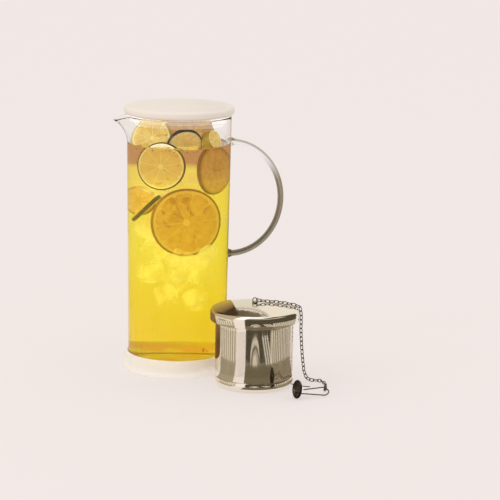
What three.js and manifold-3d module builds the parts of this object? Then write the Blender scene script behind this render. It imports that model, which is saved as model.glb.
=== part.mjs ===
// Iced tea jug of clear glass with a lift-off lid, and its steel capsule infuser on a chain.
// Millimetres, +Z up. The origin is the centre of the jug's underside. The handle points along +X
// and the pouring spout along -X. The infuser stands on the same table, in front and to the right,
// with its chain over the edge of its lid and its hook lying on the table.

import * as THREE from 'three';
import { mergeVertices } from 'three/addons/utils/BufferGeometryUtils.js';
import Module from 'manifold-3d';

const wasm = await Module();
wasm.setup();

// Fits and overruns
const seatGap = 0.3;
const cutOverrun = 2;

// Jug: a blown cylinder that widens a little to its mouth
const rimHeight = 236.7;
const mouthRadius = 47.9;
const footRadius = 45.3;
const glassWall = 2.6;
const glassFloor = 5.5;
const heelRadius = 7;

// Pouring spout: how far the lip is drawn out and down, how wide and deep the draw is, and how
// it fades down the wall
const spoutReach = 13;
const spoutDroop = 5;
const spoutHalfWidth = 11;
const spoutDepth = 24;
const spoutFadePower = 1.7;

// Handle: a round rod bent in half an ellipse, with its two feet spread on the wall
const handleTopHeight = 212.7;
const handleBottomHeight = 108.3;
const handleReach = 47;
const handleRod = 5.6;
const handleFootSpread = 1.3;
const handleFootLength = 4.5;

// Boot: the soft cup under the jug
const bootFloor = 3.2;
const bootHeight = 16.5;
const bootRadius = 49.8;
const bootMouthWall = 2.6;
const bootEdge = 1.4;

// Jug lid: a disc, a plug under it and a soft seal between plug and glass
const lidRadius = 50.5;
const lidThickness = 7.4;
const lidCrown = 0.5;
const lidEdge = 3;
const lidPlate = 2.6;
const sealFlange = 0.8;
const sealWall = 1.7;
const sealDepth = 4.2;
const plugWall = 2;
const plugLipHeight = 3;
const plugLipInset = 0.9;
const pourWindowDegrees = 52;
const pourWindowHeight = 2.8;

// Capsule infuser: where it stands, and its pressed steel body
const infuserX = 70;
const infuserY = -62.5;
const capsuleRadius = 35.4;
const capsuleHeight = 60.2;
const steelWall = 0.9;
const capsuleBead = 1.5;
const floorCupHeight = 9;
const floorCorner = 4.5;
const floorLap = 4;

// Infuser lid: a domed cap that overhangs the body, closed below by a ring with a spigot
const capOverhang = 4.8;
const capSide = 7;
const capCorner = 4;
const capCrown = 4;
const spigotDepth = 6;

// Eyelet on the infuser lid
const eyeletRing = 2.1;
const eyeletWire = 0.8;
const eyeletFootRadius = 2.6;
const eyeletFootHeight = 0.8;

// Chain of oval wire links
const linkPitch = 4.05;
const linkSlack = 0.4;
const linkWire = 0.75;
const linkBend = 1.4;
const linkLean = 45;

// Hook: a sprung wire loop, a keeper beside it and a round disc that both pass through
const hookX = 37;
const hookY = -48.5;
const hookHeading = 21;
const hookReach = 31.5;
const hookWire = 1.1;
const keeperWire = 0.9;
const strandSpread = 4;
const stubLength = 3.2;
const discRadius = 8.5;
const discThickness = 4.2;
const discEdge = 1.3;
const hookRing = 2.8;
const hookRingWire = 0.8;
const tableGap = 0.1;

// Chain's lie: how far it runs beside the crown's middle, how far out its loop on the table goes
// from where it hangs, and how far behind and in front of the infuser's axis that loop reaches
const crownAside = 3.5;
const tableReach = 23;
const tableBack = 9.6;
const tableFront = 21.5;

const radians = Math.PI / 180;

// Facets round each kind of piece
const jugFacets = 60;
const roundFacets = 40;
const discFacets = 24;
const ringFacets = 16;
const handleSides = 8;
const wireSides = 6;
const loopSteps = 40;
const keeperSteps = 12;

// Seats that follow from the sizes above
const jugBase = bootFloor + seatGap;
const jugFloorTop = jugBase + glassFloor;
const sealTop = rimHeight + seatGap + sealFlange;
const lidUnderside = sealTop + seatGap;
const mouthBore = mouthRadius - glassWall;
const capRadius = capsuleRadius + capOverhang;
const capBottom = capsuleHeight + seatGap;
const capShoulder = capBottom + capSide + capCorner;

function wallRadiusAt(height) {
  const share = (height - jugBase) / (rimHeight - jugBase);
  return footRadius + (mouthRadius - footRadius) * share;
}

function material(color, roughness, metalness, opacity) {
  return new THREE.MeshStandardMaterial({
    color, roughness, metalness, opacity, transparent: opacity < 1,
  });
}

const glass = material(0xdfe8e4, 0.04, 0, 0.35);
const frosted = material(0xe9e6e0, 0.45, 0, 0.9);
const moulded = material(0xe8dccd, 0.35, 0, 1);
const clearMoulded = material(0xe6e4dc, 0.2, 0, 0.6);
const steel = material(0xb4ada0, 0.12, 1, 1);
const chainSteel = material(0x8d8577, 0.25, 1, 1);
const darkSteel = material(0x3a352e, 0.2, 1, 1);

const maker = new THREE.Group();

function addPiece(name, geometry, finish, parent = maker) {
  const mesh = new THREE.Mesh(geometry, finish);
  mesh.name = name;
  parent.add(mesh);
  return mesh;
}

function sewn(geometry) {
  geometry.deleteAttribute('normal');
  geometry.deleteAttribute('uv');
  return mergeVertices(geometry);
}

// A closed outline in radius and height, turned about the Z axis, whichever way round it is drawn.
function turned(outline, arcSteps, facets = roundFacets) {
  const points = outline.getPoints(arcSteps);
  if (THREE.ShapeUtils.area(points) < 0) points.reverse();
  const geometry = new THREE.LatheGeometry(points, facets);
  geometry.rotateX(Math.PI / 2);
  return sewn(geometry);
}

function closeOutline(outline) {
  const first = outline.curves[0].getPoint(0);
  outline.lineTo(first.x, first.y);
  return outline;
}

// A round bar along a curve. radiusAt gives its radius at each share of the way.
function bar(curve, radiusAt, sides, steps) {
  const frames = curve.computeFrenetFrames(steps);
  const geometry = sewn(new THREE.CylinderGeometry(1, 1, 1, sides, steps));
  const spots = geometry.attributes.position;
  const corner = new THREE.Vector3();
  for (let i = 0; i < spots.count; i += 1) {
    corner.fromBufferAttribute(spots, i);
    const share = THREE.MathUtils.clamp(corner.y + 0.5, 0, 1);
    const step = Math.round(share * steps);
    const radius = radiusAt(share);
    const place = curve.getPointAt(share);
    place.addScaledVector(frames.normals[step], corner.x * radius);
    place.addScaledVector(frames.binormals[step], -corner.z * radius);
    spots.setXYZ(i, place.x, place.y, place.z);
  }
  return geometry;
}

function asSolid(geometry) {
  return new wasm.Manifold(new wasm.Mesh({
    numProp: 3,
    vertProperties: new Float32Array(geometry.attributes.position.array),
    triVerts: new Uint32Array(geometry.index.array),
  }));
}

function asGeometry(solid) {
  const mesh = solid.getMesh();
  const geometry = new THREE.BufferGeometry();
  geometry.setAttribute('position', new THREE.BufferAttribute(mesh.vertProperties, mesh.numProp));
  geometry.setIndex(new THREE.BufferAttribute(mesh.triVerts, 1));
  return geometry;
}

// Jug

// The heights between which the spout's draw needs rows of its own, as shares of its depth.
const spoutRowShares = [0, 0.2, 0.38, 0.54, 0.68, 0.8, 0.9];

function jugOutline() {
  const lip = glassWall / 2;
  const rowHeights = spoutRowShares.map((share) => rimHeight - spoutDepth + spoutDepth * share - lip);
  const outline = new THREE.Path();
  outline.moveTo(0, jugBase);
  outline.lineTo(footRadius - heelRadius, jugBase);
  outline.absarc(footRadius - heelRadius, jugBase + heelRadius, heelRadius, -Math.PI / 2, 0);
  for (const height of rowHeights) outline.lineTo(wallRadiusAt(height), height);
  outline.absarc(mouthRadius - lip, rimHeight - lip, lip, 0, Math.PI);
  for (const height of rowHeights.toReversed()) outline.lineTo(wallRadiusAt(height) - glassWall, height);
  const innerHeel = heelRadius - glassWall;
  const innerFoot = footRadius - glassWall;
  outline.absarc(innerFoot - innerHeel, jugFloorTop + innerHeel, innerHeel, 0, -Math.PI / 2, true);
  outline.lineTo(0, jugFloorTop);
  return outline;
}

// Facets crowd towards the spout, and the lip there is drawn outwards and a little down.
const facetCrowding = 0.5;

function drawSpout(geometry) {
  const spots = geometry.attributes.position;
  for (let i = 0; i < spots.count; i += 1) {
    const radius = Math.hypot(spots.getX(i), spots.getY(i));
    const height = spots.getZ(i);
    const even = Math.atan2(spots.getY(i), -spots.getX(i));
    const angle = even - facetCrowding * Math.sin(even);
    const across = (angle * mouthRadius) / spoutHalfWidth;
    const up = THREE.MathUtils.clamp((height - rimHeight + spoutDepth) / spoutDepth, 0, 1);
    const draw = Math.exp(-across * across) * up ** spoutFadePower;
    const reached = radius + spoutReach * draw;
    spots.setXYZ(i, -reached * Math.cos(angle), reached * Math.sin(angle), height - spoutDroop * draw * up);
  }
  return geometry;
}

addPiece('jug_glass', drawSpout(turned(jugOutline(), 2, jugFacets)), glass);

class HandleCurve extends THREE.Curve {
  getPoint(share, target = new THREE.Vector3()) {
    const middle = (handleTopHeight + handleBottomHeight) / 2;
    const half = (handleTopHeight - handleBottomHeight) / 2;
    const height = middle + half * Math.cos(Math.PI * share);
    const out = wallRadiusAt(height) + seatGap + handleReach * Math.sin(Math.PI * share);
    return target.set(out, 0, height);
  }
}

function handleGeometry() {
  const curve = new HandleCurve();
  const length = curve.getLength();
  return bar(curve, (share) => {
    const fromEnd = Math.min(share, 1 - share) * length;
    const spread = (handleFootSpread * Math.max(0, handleFootLength - fromEnd)) / handleFootLength;
    return handleRod / 2 + spread;
  }, handleSides, loopSteps);
}

addPiece('glass_handle', handleGeometry(), glass);

function bootOutline() {
  const innerRadius = wallRadiusAt(bootHeight) + seatGap;
  const heel = heelRadius + seatGap;
  const outline = new THREE.Path();
  outline.moveTo(0, 0);
  outline.lineTo(bootRadius - bootEdge, 0);
  outline.absarc(bootRadius - bootEdge, bootEdge, bootEdge, -Math.PI / 2, 0);
  const lip = bootMouthWall / 2;
  outline.absarc(innerRadius + lip, bootHeight - lip, lip, 0, Math.PI);
  outline.absarc(footRadius + seatGap - heel, bootFloor + heel, heel, 0, -Math.PI / 2, true);
  outline.lineTo(0, bootFloor);
  return outline;
}

addPiece('base_boot', turned(bootOutline(), 2), frosted);

// Jug lid

function lidOutline() {
  const top = lidUnderside + lidThickness;
  const innerRadius = mouthBore - sealWall - plugWall - seatGap;
  const outline = new THREE.Path();
  outline.moveTo(0, top + lidCrown);
  outline.lineTo(innerRadius, top + lidCrown / 2);
  outline.absarc(lidRadius - lidEdge, top - lidEdge, lidEdge, Math.PI / 2, 0, true);
  outline.absarc(lidRadius - lidEdge, lidUnderside + lidEdge, lidEdge, 0, -Math.PI / 2, true);
  outline.lineTo(innerRadius, lidUnderside);
  outline.lineTo(innerRadius - lidPlate, top - lidPlate);
  outline.lineTo(0, top + lidCrown - lidPlate);
  return outline;
}

addPiece('lid_disc', turned(lidOutline(), 2), moulded);

const sealBore = mouthBore - seatGap - sealWall;

function sealOutline() {
  const bottom = sealTop - sealFlange - sealDepth;
  const outline = new THREE.Path();
  outline.moveTo(sealBore, bottom);
  outline.lineTo(sealBore + sealWall / 2, bottom);
  outline.lineTo(sealBore + sealWall, bottom + sealWall / 2);
  outline.lineTo(sealBore + sealWall, sealTop - sealFlange);
  outline.lineTo(mouthRadius, sealTop - sealFlange);
  outline.lineTo(mouthRadius, sealTop);
  outline.lineTo(sealBore, sealTop);
  return closeOutline(outline);
}

addPiece('lid_seal', turned(sealOutline(), 1), clearMoulded);

function plugOutline() {
  const outer = sealBore - seatGap;
  const inner = outer - plugWall;
  const lipTop = sealTop - sealFlange - sealDepth - seatGap;
  const bottom = lipTop - plugLipHeight;
  const lipRadius = mouthBore - plugLipInset;
  const outline = new THREE.Path();
  outline.moveTo(inner, bottom);
  outline.lineTo(lipRadius - plugLipHeight / 2, bottom);
  outline.lineTo(lipRadius, lipTop);
  outline.lineTo(outer, lipTop);
  outline.lineTo(outer, lidUnderside - seatGap);
  outline.lineTo(inner, lidUnderside - seatGap);
  return closeOutline(outline);
}

// The window through which the tea reaches the spout is cut from the lower edge of the plug.
function pourWindow() {
  const bottom = sealTop - sealFlange - sealDepth - seatGap - plugLipHeight;
  const outline = new THREE.Shape();
  const half = (pourWindowDegrees / 2) * radians;
  outline.moveTo(0, 0);
  outline.absarc(0, 0, mouthRadius + cutOverrun, Math.PI - half, Math.PI + half);
  outline.lineTo(0, 0);
  const depth = pourWindowHeight + cutOverrun;
  const geometry = new THREE.ExtrudeGeometry(outline, { depth, bevelEnabled: false, curveSegments: 4 });
  geometry.translate(0, 0, bottom - cutOverrun);
  return asSolid(sewn(geometry));
}

const plug = asSolid(turned(plugOutline(), 1)).subtract(pourWindow());
addPiece('lid_plug', asGeometry(plug), clearMoulded);

// Capsule infuser

const infuser = new THREE.Group();
infuser.position.set(infuserX, infuserY, 0);
maker.add(infuser);

function floorOutline() {
  const lapRadius = capsuleRadius - steelWall - seatGap;
  const inner = lapRadius - steelWall;
  const innerCorner = floorCorner - steelWall;
  const outline = new THREE.Path();
  outline.moveTo(0, 0);
  outline.lineTo(capsuleRadius - floorCorner, 0);
  outline.absarc(capsuleRadius - floorCorner, floorCorner, floorCorner, -Math.PI / 2, 0);
  outline.lineTo(capsuleRadius, floorCupHeight);
  outline.lineTo(lapRadius, floorCupHeight);
  outline.lineTo(lapRadius, floorCupHeight + floorLap);
  outline.lineTo(inner, floorCupHeight + floorLap);
  outline.absarc(inner - innerCorner, steelWall + innerCorner, innerCorner, 0, -Math.PI / 2, true);
  outline.lineTo(0, steelWall);
  return outline;
}

addPiece('infuser_floor', turned(floorOutline(), 2), steel, infuser);

function wallOutline() {
  const inner = capsuleRadius - steelWall;
  const beadHeight = capsuleHeight - capsuleBead / 2;
  const outline = new THREE.Path();
  outline.moveTo(inner, floorCupHeight + seatGap);
  outline.lineTo(capsuleRadius, floorCupHeight + seatGap);
  outline.lineTo(capsuleRadius, capsuleHeight - capsuleBead);
  outline.absarc(capsuleRadius, beadHeight, capsuleBead / 2, -Math.PI / 2, Math.PI / 2);
  outline.lineTo(inner, capsuleHeight);
  return closeOutline(outline);
}

addPiece('infuser_wall', turned(wallOutline(), 2), steel, infuser);

// Height of the crown's upper face above the table, at a radius from the lid's axis.
function crownHeight(radius) {
  const share = Math.min(1, radius / (capRadius - capCorner));
  return capShoulder + capCrown * (1 - share * share);
}

function capOutline() {
  const flat = capRadius - capCorner;
  const outline = new THREE.Path();
  outline.moveTo(capRadius - steelWall, capBottom);
  outline.lineTo(capRadius, capBottom + steelWall / 2);
  outline.absarc(flat, capShoulder - capCorner, capCorner, 0, Math.PI / 2);
  outline.quadraticCurveTo(flat / 2, crownHeight(0), 0, crownHeight(0));
  outline.lineTo(0, crownHeight(0) - steelWall);
  outline.quadraticCurveTo(flat / 2, crownHeight(0) - steelWall, flat, capShoulder - steelWall);
  outline.absarc(flat, capShoulder - capCorner, capCorner - steelWall, Math.PI / 2, 0, true);
  return closeOutline(outline);
}

addPiece('infuser_lid', turned(capOutline(), 3), steel, infuser);

function spigotOutline() {
  const outer = capRadius - steelWall - seatGap;
  const spigot = capsuleRadius - steelWall - seatGap;
  const outline = new THREE.Path();
  outline.moveTo(spigot - steelWall, capBottom - spigotDepth);
  outline.lineTo(spigot, capBottom - spigotDepth);
  outline.lineTo(spigot, capBottom);
  outline.lineTo(outer, capBottom);
  outline.lineTo(outer, capBottom + steelWall);
  outline.lineTo(spigot - steelWall, capBottom + steelWall);
  return closeOutline(outline);
}

addPiece('lid_spigot', turned(spigotOutline(), 1), steel, infuser);

// The eyelet stands on the crown of the lid: a small washer with a wire ring fused into it.
const eyeletBase = crownHeight(0) + seatGap;
const eyeletCentre = eyeletBase + eyeletFootHeight / 2 + eyeletRing;

function eyeletGeometry() {
  const foot = new THREE.CylinderGeometry(eyeletFootRadius, eyeletFootRadius, eyeletFootHeight, ringFacets);
  foot.rotateX(Math.PI / 2);
  foot.translate(0, 0, eyeletBase + eyeletFootHeight / 2);
  const ring = new THREE.TorusGeometry(eyeletRing, eyeletWire / 2, wireSides, ringFacets);
  ring.rotateX(Math.PI / 2);
  ring.translate(0, 0, eyeletCentre);
  return asGeometry(asSolid(sewn(foot)).add(asSolid(sewn(ring))));
}

addPiece('lid_eyelet', eyeletGeometry(), steel, infuser);

// Hook. Its own frame: along runs from the disc to the far end of the loop, up lies across the loop.
// The disc stands on its edge, and the loop's lower strand meets the table at the far end.

const discHeight = discRadius + tableGap;
const loopHeight = (strandSpread + hookWire) * Math.SQRT1_2 + tableGap;
const hookDrop = Math.asin((discHeight - loopHeight) / hookReach);
const discCentre = new THREE.Vector3(infuserX + hookX, infuserY + hookY, discHeight);
const along = new THREE.Vector3(
  Math.cos(hookHeading * radians) * Math.cos(hookDrop),
  Math.sin(hookHeading * radians) * Math.cos(hookDrop),
  -Math.sin(hookDrop),
);
const up = new THREE.Vector3(0, 1, 1);
up.addScaledVector(along, -up.dot(along)).normalize();

function onHook(length, height) {
  return discCentre.clone().addScaledVector(along, length).addScaledVector(up, height);
}

// Points of the wire loop, from its lower end round the far bend and back to its tip, and of the
// keeper: shares of the reach along the hook and of the strands' spread across it.
const loopShares = [[0, -1], [0.3, -1], [0.65, -1], [0.88, -0.9], [1, 0], [0.88, 0.9], [0.6, 0.62]];
const keeperShares = [[0, 1], [0.2, 0.9], [0.42, 0.86]];
const loopStubShare = -0.8;
const keeperStubShare = 1.3;
const stubEnd = -discThickness / 2 - stubLength;

function alongHook(shares) {
  return shares.map(([length, height]) => onHook(hookReach * length, strandSpread * height));
}

function hookCurve() {
  const stub = onHook(stubEnd, strandSpread * loopStubShare);
  const tip = onHook(discThickness / 2 + strandSpread, 0);
  return new THREE.CatmullRomCurve3([stub, ...alongHook(loopShares), tip]);
}

function keeperCurve() {
  const stub = onHook(stubEnd, strandSpread * keeperStubShare);
  return new THREE.CatmullRomCurve3([stub, ...alongHook(keeperShares)]);
}

const hookBar = bar(hookCurve(), () => hookWire / 2, wireSides, loopSteps);
const keeperBar = bar(keeperCurve(), () => keeperWire / 2, wireSides, keeperSteps);
addPiece('hook_wire', hookBar, chainSteel);
addPiece('hook_keeper', keeperBar, chainSteel);

function discOutline() {
  const half = discThickness / 2;
  const outline = new THREE.Path();
  outline.moveTo(0, -half);
  outline.lineTo(discRadius - discEdge * 2, discEdge - half);
  outline.absarc(discRadius - discEdge, 0, discEdge, -Math.PI / 2, Math.PI / 2);
  outline.lineTo(0, half);
  return outline;
}

function discGeometry() {
  const blank = turned(discOutline(), 2, discFacets);
  const turnToHook = new THREE.Quaternion().setFromUnitVectors(new THREE.Vector3(0, 0, 1), along);
  blank.applyQuaternion(turnToHook);
  blank.translate(discCentre.x, discCentre.y, discCentre.z);
  const hookBore = bar(hookCurve(), () => hookWire / 2 + seatGap, wireSides, loopSteps);
  const keeperBore = bar(keeperCurve(), () => keeperWire / 2 + seatGap, wireSides, keeperSteps);
  return asGeometry(asSolid(blank).subtract(asSolid(hookBore)).subtract(asSolid(keeperBore)));
}

addPiece('hook_disc', discGeometry(), darkSteel);

// The ring round the loop's upper strand. The chain's last link pulls it back and a little down.
const ringSpotShare = 0.66;
const ringPull = new THREE.Vector3(0, 2, -1).normalize();
const ringAxis = along.clone().addScaledVector(ringPull, -ringPull.dot(along)).normalize();
const ringHang = hookRing - hookRingWire / 2 - hookWire / 2 - linkSlack / 2;
const ringCentre = hookCurve().getPointAt(ringSpotShare).addScaledVector(ringPull, ringHang);

function hookRingGeometry() {
  const ring = sewn(new THREE.TorusGeometry(hookRing, hookRingWire / 2, wireSides, ringFacets));
  ring.applyQuaternion(new THREE.Quaternion().setFromUnitVectors(new THREE.Vector3(0, 0, 1), ringAxis));
  ring.translate(ringCentre.x, ringCentre.y, ringCentre.z);
  return ring;
}

addPiece('hook_ring', hookRingGeometry(), chainSteel);

// Chain. Its route runs from the eyelet over the lid's edge, down to the table and to the hook.

const linkHalf = linkBend * Math.SQRT1_2 + linkWire / 2;
const overCrown = linkHalf + seatGap;
const onTable = linkHalf + tableGap;
const crownRim = capRadius - capCorner;
const rimHeightAboveTable = capShoulder - capCorner;
const hangOut = capRadius + seatGap + linkHalf;

// Over the crown: shares of the crown's rim and of the run beside its middle.
const crownShares = [[0.25, 0.43], [0.55, 0.86], [0.8, 1], [0.98, 1]];
// Down beside the wall: shares of the rim's height, of the loop's reach and of its back.
const dropShares = [
  [0.978, 0.004, 0.31], [0.741, 0.017, 0.31], [0.504, 0.061, 0.365],
  [0.281, 0.13, 0.47], [0.119, 0.213, 0.625], [0.0455, 0.348, 0.79],
];
// On the table: shares of the loop's reach, and of how far behind and then in front it runs.
const backShares = [[0.52, 1], [0.76, 0.94], [0.935, 0.365]];
const frontShares = [[1, 0.21], [0.99, 0.605], [0.957, 1]];

// A place on the route: X and Y from the infuser's axis, and height above the table.
function beside(x, y, height) {
  return new THREE.Vector3(infuserX + x, infuserY + y, height);
}

function overTheCrown([out, aside]) {
  const x = crownRim * out;
  const y = crownAside * aside;
  return beside(x, y, crownHeight(Math.hypot(x, y)) + overCrown);
}

function chainRoute() {
  const cornerTurn = (capCorner + overCrown + linkSlack) * Math.SQRT1_2;
  const ringJoint = ringCentre.clone().addScaledVector(ringPull, hookRing - hookRingWire / 2);
  return new THREE.CatmullRomCurve3([
    beside(eyeletRing - eyeletWire / 2, 0, eyeletCentre),
    ...crownShares.map(overTheCrown),
    beside(crownRim + cornerTurn, crownAside, rimHeightAboveTable + cornerTurn),
    ...dropShares.map(([height, out, back]) => (
      beside(hangOut + tableReach * out, tableBack * back, rimHeightAboveTable * height)
    )),
    ...backShares.map(([out, back]) => beside(hangOut + tableReach * out, tableBack * back, onTable)),
    ...frontShares.map(([out, front]) => beside(hangOut + tableReach * out, -tableFront * front, onTable)),
    ringJoint,
  ]);
}

// One oval link: a ring drawn apart along X so that its bore is one pitch long, plus the slack.
function linkGeometry(pitch) {
  const sides = 5;
  const steps = 8;
  const stretch = (pitch + linkSlack + linkWire) / 2 - linkBend;
  const geometry = new THREE.TorusGeometry(linkBend, linkWire / 2, sides, steps);
  geometry.rotateZ(Math.PI / steps);
  const spots = geometry.attributes.position;
  for (let i = 0; i < spots.count; i += 1) {
    spots.setX(i, spots.getX(i) + Math.sign(spots.getX(i)) * stretch);
  }
  return sewn(geometry);
}

const route = chainRoute();
const linkCount = Math.round(route.getLength() / linkPitch);
const joints = route.getSpacedPoints(linkCount);
const link = linkGeometry(route.getLength() / linkCount);
const side = new THREE.Vector3(0, 1, 0);
const steepShare = 0.8;

for (let i = 0; i < linkCount; i += 1) {
  const direction = joints[i + 1].clone().sub(joints[i]).normalize();
  if (Math.abs(direction.z) < steepShare) side.set(-direction.y, direction.x, 0);
  side.addScaledVector(direction, -side.dot(direction)).normalize();
  const lean = (i % 2 === 0 ? linkLean : -linkLean) * radians;
  const across = side.clone().applyAxisAngle(direction, lean);
  const normal = direction.clone().cross(across);
  const piece = addPiece(`chain_link_${String(i + 1).padStart(2, '0')}`, link, chainSteel);
  piece.position.copy(joints[i]).lerp(joints[i + 1], 0.5);
  piece.quaternion.setFromRotationMatrix(new THREE.Matrix4().makeBasis(direction, across, normal));
}

export default maker;
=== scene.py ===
# %% [markdown]
# # A glass jug of iced tea and its capsule infuser
#
# The object is a tall clear jug with a rod handle, a soft white lid and a milky boot, filled with
# yellow tea, ice and slices of citrus. In front of it stands a small polished steel infuser whose
# lid holds a chain with a hook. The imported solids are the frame: they give every size and place.
# This lesson dresses them, one piece at a time, and rides each piece on the body that moves it.

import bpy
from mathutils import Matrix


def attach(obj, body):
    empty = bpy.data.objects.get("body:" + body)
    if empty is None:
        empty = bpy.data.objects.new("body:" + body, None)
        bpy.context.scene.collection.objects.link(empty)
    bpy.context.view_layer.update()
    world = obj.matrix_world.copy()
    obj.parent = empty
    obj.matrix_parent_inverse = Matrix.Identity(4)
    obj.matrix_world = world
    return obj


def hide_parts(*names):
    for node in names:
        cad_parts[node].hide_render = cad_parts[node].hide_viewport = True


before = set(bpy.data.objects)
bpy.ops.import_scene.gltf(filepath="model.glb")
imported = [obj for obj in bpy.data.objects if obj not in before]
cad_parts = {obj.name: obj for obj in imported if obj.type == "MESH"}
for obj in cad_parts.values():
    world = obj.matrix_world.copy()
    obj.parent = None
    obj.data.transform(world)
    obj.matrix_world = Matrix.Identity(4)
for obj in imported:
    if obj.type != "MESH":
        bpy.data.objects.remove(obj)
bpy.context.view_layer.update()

# %% Modules and units
import math
import random

import bmesh
import bpy
import numpy as np
from mathutils import Matrix, Vector

MM = 0.001
draw = random.Random(7)
scene = bpy.context.scene

# %% [markdown]
# ## Camera
#
# The picture was taken with a long lens from a little above, so the jug's sides hardly converge.
# A camera is easiest to repeat when it is written as a place, three turns and a focal length in
# pixels, because a focal length in pixels turns into a lens as soon as the frame's width is known.

# %% Camera
CAMERA_PLACE = Vector((0.0, -1.9328, 0.5097))
CAMERA_YAW = math.radians(1.98)
CAMERA_PITCH = math.radians(-11.64)
CAMERA_ROLL = math.radians(1.0)
FOCAL_PIXELS = 2130
FRAME_PIXELS = 500
SENSOR = 36


def camera_turn(yaw, pitch, roll):
    """The rotation of a camera that looks along +Y when all three turns are zero."""
    flat = math.cos(pitch)
    forward = Vector((math.sin(yaw) * flat, math.cos(yaw) * flat, math.sin(pitch)))
    level = Vector((math.cos(yaw), -math.sin(yaw), 0))
    right = math.cos(roll) * level + math.sin(roll) * level.cross(forward)
    return Matrix((right, right.cross(forward), -forward)).transposed()


def make_camera():
    data = bpy.data.cameras.new("camera")
    data.sensor_width = SENSOR
    data.lens = FOCAL_PIXELS * SENSOR / FRAME_PIXELS
    camera = bpy.data.objects.new("camera", data)
    turn = camera_turn(CAMERA_YAW, CAMERA_PITCH, CAMERA_ROLL)
    camera.matrix_world = Matrix.Translation(CAMERA_PLACE) @ turn.to_4x4()
    scene.collection.objects.link(camera)
    scene.camera = camera
    return camera


print("lens, mm:", round(make_camera().data.lens, 1))

# %% [markdown]
# ## Ways of making meshes
#
# Almost every piece here was spun, drawn or bent on the real object, so three tools make nearly
# all of them: an outline turned about an axis, a round bar along a path, and a plain mesh from
# points. Outlines are written in millimetres as radius and height, with arcs where edges are
# rounded, because a rounded edge is what catches the light.

# %% Meshes from points
def finished(name, work, smooth_angle=None):
    """A bmesh in metres as a smooth-shaded object of the scene."""
    data = bpy.data.meshes.new(name)
    work.to_mesh(data)
    work.free()
    data.polygons.foreach_set("use_smooth", [True] * len(data.polygons))
    if smooth_angle:
        data.set_sharp_from_angle(angle=math.radians(smooth_angle))
    piece = bpy.data.objects.new(name, data)
    scene.collection.objects.link(piece)
    return piece


def mesh_object(name, places, faces, smooth_angle=40):
    """A mesh from places in millimetres, with outward normals."""
    work = bmesh.new()
    corners = [work.verts.new(Vector(place) * MM) for place in places]
    for face in faces:
        work.faces.new([corners[i] for i in face])
    bmesh.ops.recalc_face_normals(work, faces=work.faces)
    return finished(name, work, smooth_angle)


def dress(piece, body, finishes, slot, *nodes, shadow=True):
    """The piece gets its materials, rides on its body and stands for the CAD nodes named."""
    for finish in finishes:
        piece.data.materials.append(finish)
    piece.visible_shadow = shadow
    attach(piece, body)
    if nodes:
        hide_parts(*nodes)
    return piece


print("points become meshes, in units of", MM, "m")


# %% Turned and swept pieces
def arc(centre, radius, start, end, steps=8):
    """Points of an arc round a centre (radius, height), from one angle to another in degrees."""
    angles = np.radians(np.linspace(start, end, steps + 1))
    return [(centre[0] + radius * math.cos(a), centre[1] + radius * math.sin(a)) for a in angles]


def turned(name, outline, facets=160, closed=False, shape=None, smooth_angle=40):
    """An outline of (radius, height) turned about Z. shape may move each place afterwards."""
    rings, places, faces = [], [], []
    for radius, height in outline:
        count = 1 if radius < 1e-6 else facets
        rings.append([len(places) + i for i in range(count)])
        for i in range(count):
            angle = math.tau * i / facets
            place = (radius * math.cos(angle), radius * math.sin(angle), height)
            places.append(shape(place) if shape else place)
    pairs = list(zip(rings, rings[1:]))
    if closed:
        pairs.append((rings[-1], rings[0]))
    for low, high in pairs:
        for i in range(facets):
            j = (i + 1) % facets
            loop = [low[i % len(low)], low[j % len(low)], high[j % len(high)], high[i % len(high)]]
            face = list(dict.fromkeys(loop))
            if len(face) > 2:
                faces.append(face)
    return mesh_object(name, places, faces, smooth_angle)


def swept(name, path, radius, sides=16, closed=False):
    """A round bar along a path in millimetres. The radius may be a function of the share run."""
    path = [Vector(p) for p in path]
    last = len(path) - 1
    places, faces = [], []
    normal = None
    for i, place in enumerate(path):
        after = path[(i + 1) % len(path)] if closed else path[min(i + 1, last)]
        before = path[i - 1] if closed or i else path[0]
        along = (after - before).normalized()
        if normal is None:
            normal = along.orthogonal().normalized()
        normal = (normal - along * normal.dot(along)).normalized()
        side = along.cross(normal)
        reach = radius(i / last) if callable(radius) else radius
        for k in range(sides):
            angle = math.tau * k / sides
            places.append(place + reach * (math.cos(angle) * normal + math.sin(angle) * side))
    for i in range(len(path) if closed else last):
        here, there = i * sides, (i + 1) % len(path) * sides
        for k in range(sides):
            n = (k + 1) % sides
            faces.append([here + k, here + n, there + n, there + k])
    if not closed:
        faces.append(list(range(sides)))
        faces.append([last * sides + k for k in range(sides)])
    return mesh_object(name, places, faces, 60)


print("an arc of 90 degrees has", len(arc((0, 0), 1, 0, 90)), "points")

# %% [markdown]
# ## Ways of making materials
#
# A material is a small network of nodes. Written out call by call it hides what it does, so a few
# helpers make one node each, with its settings and with numbers, colours or other nodes' outputs
# on its inputs. A material then reads like a recipe.

# %% Nodes
def feed(tree, socket, value):
    """Sets an input to a number or a colour, or joins it to another node's output."""
    if isinstance(value, bpy.types.NodeSocket):
        tree.links.new(value, socket)
    elif socket.type == "RGBA" and len(value) == 3:
        socket.default_value = (*value, 1)
    else:
        socket.default_value = value


def node(tree, kind, inputs=(), **settings):
    made = tree.nodes.new("ShaderNode" + kind)
    for setting, value in settings.items():
        setattr(made, setting, value)
    for socket, value in dict(inputs).items():
        feed(tree, made.inputs[socket], value)
    return made


def place_in(tree):
    """The place on the piece, in metres of the frame."""
    return node(tree, "TexCoord").outputs["Object"]


def noise(tree, place, scale, detail, twist=0.0):
    inputs = {"Vector": place, "Scale": scale, "Detail": detail, "Distortion": twist}
    return node(tree, "TexNoise", inputs).outputs["Fac"]


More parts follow.
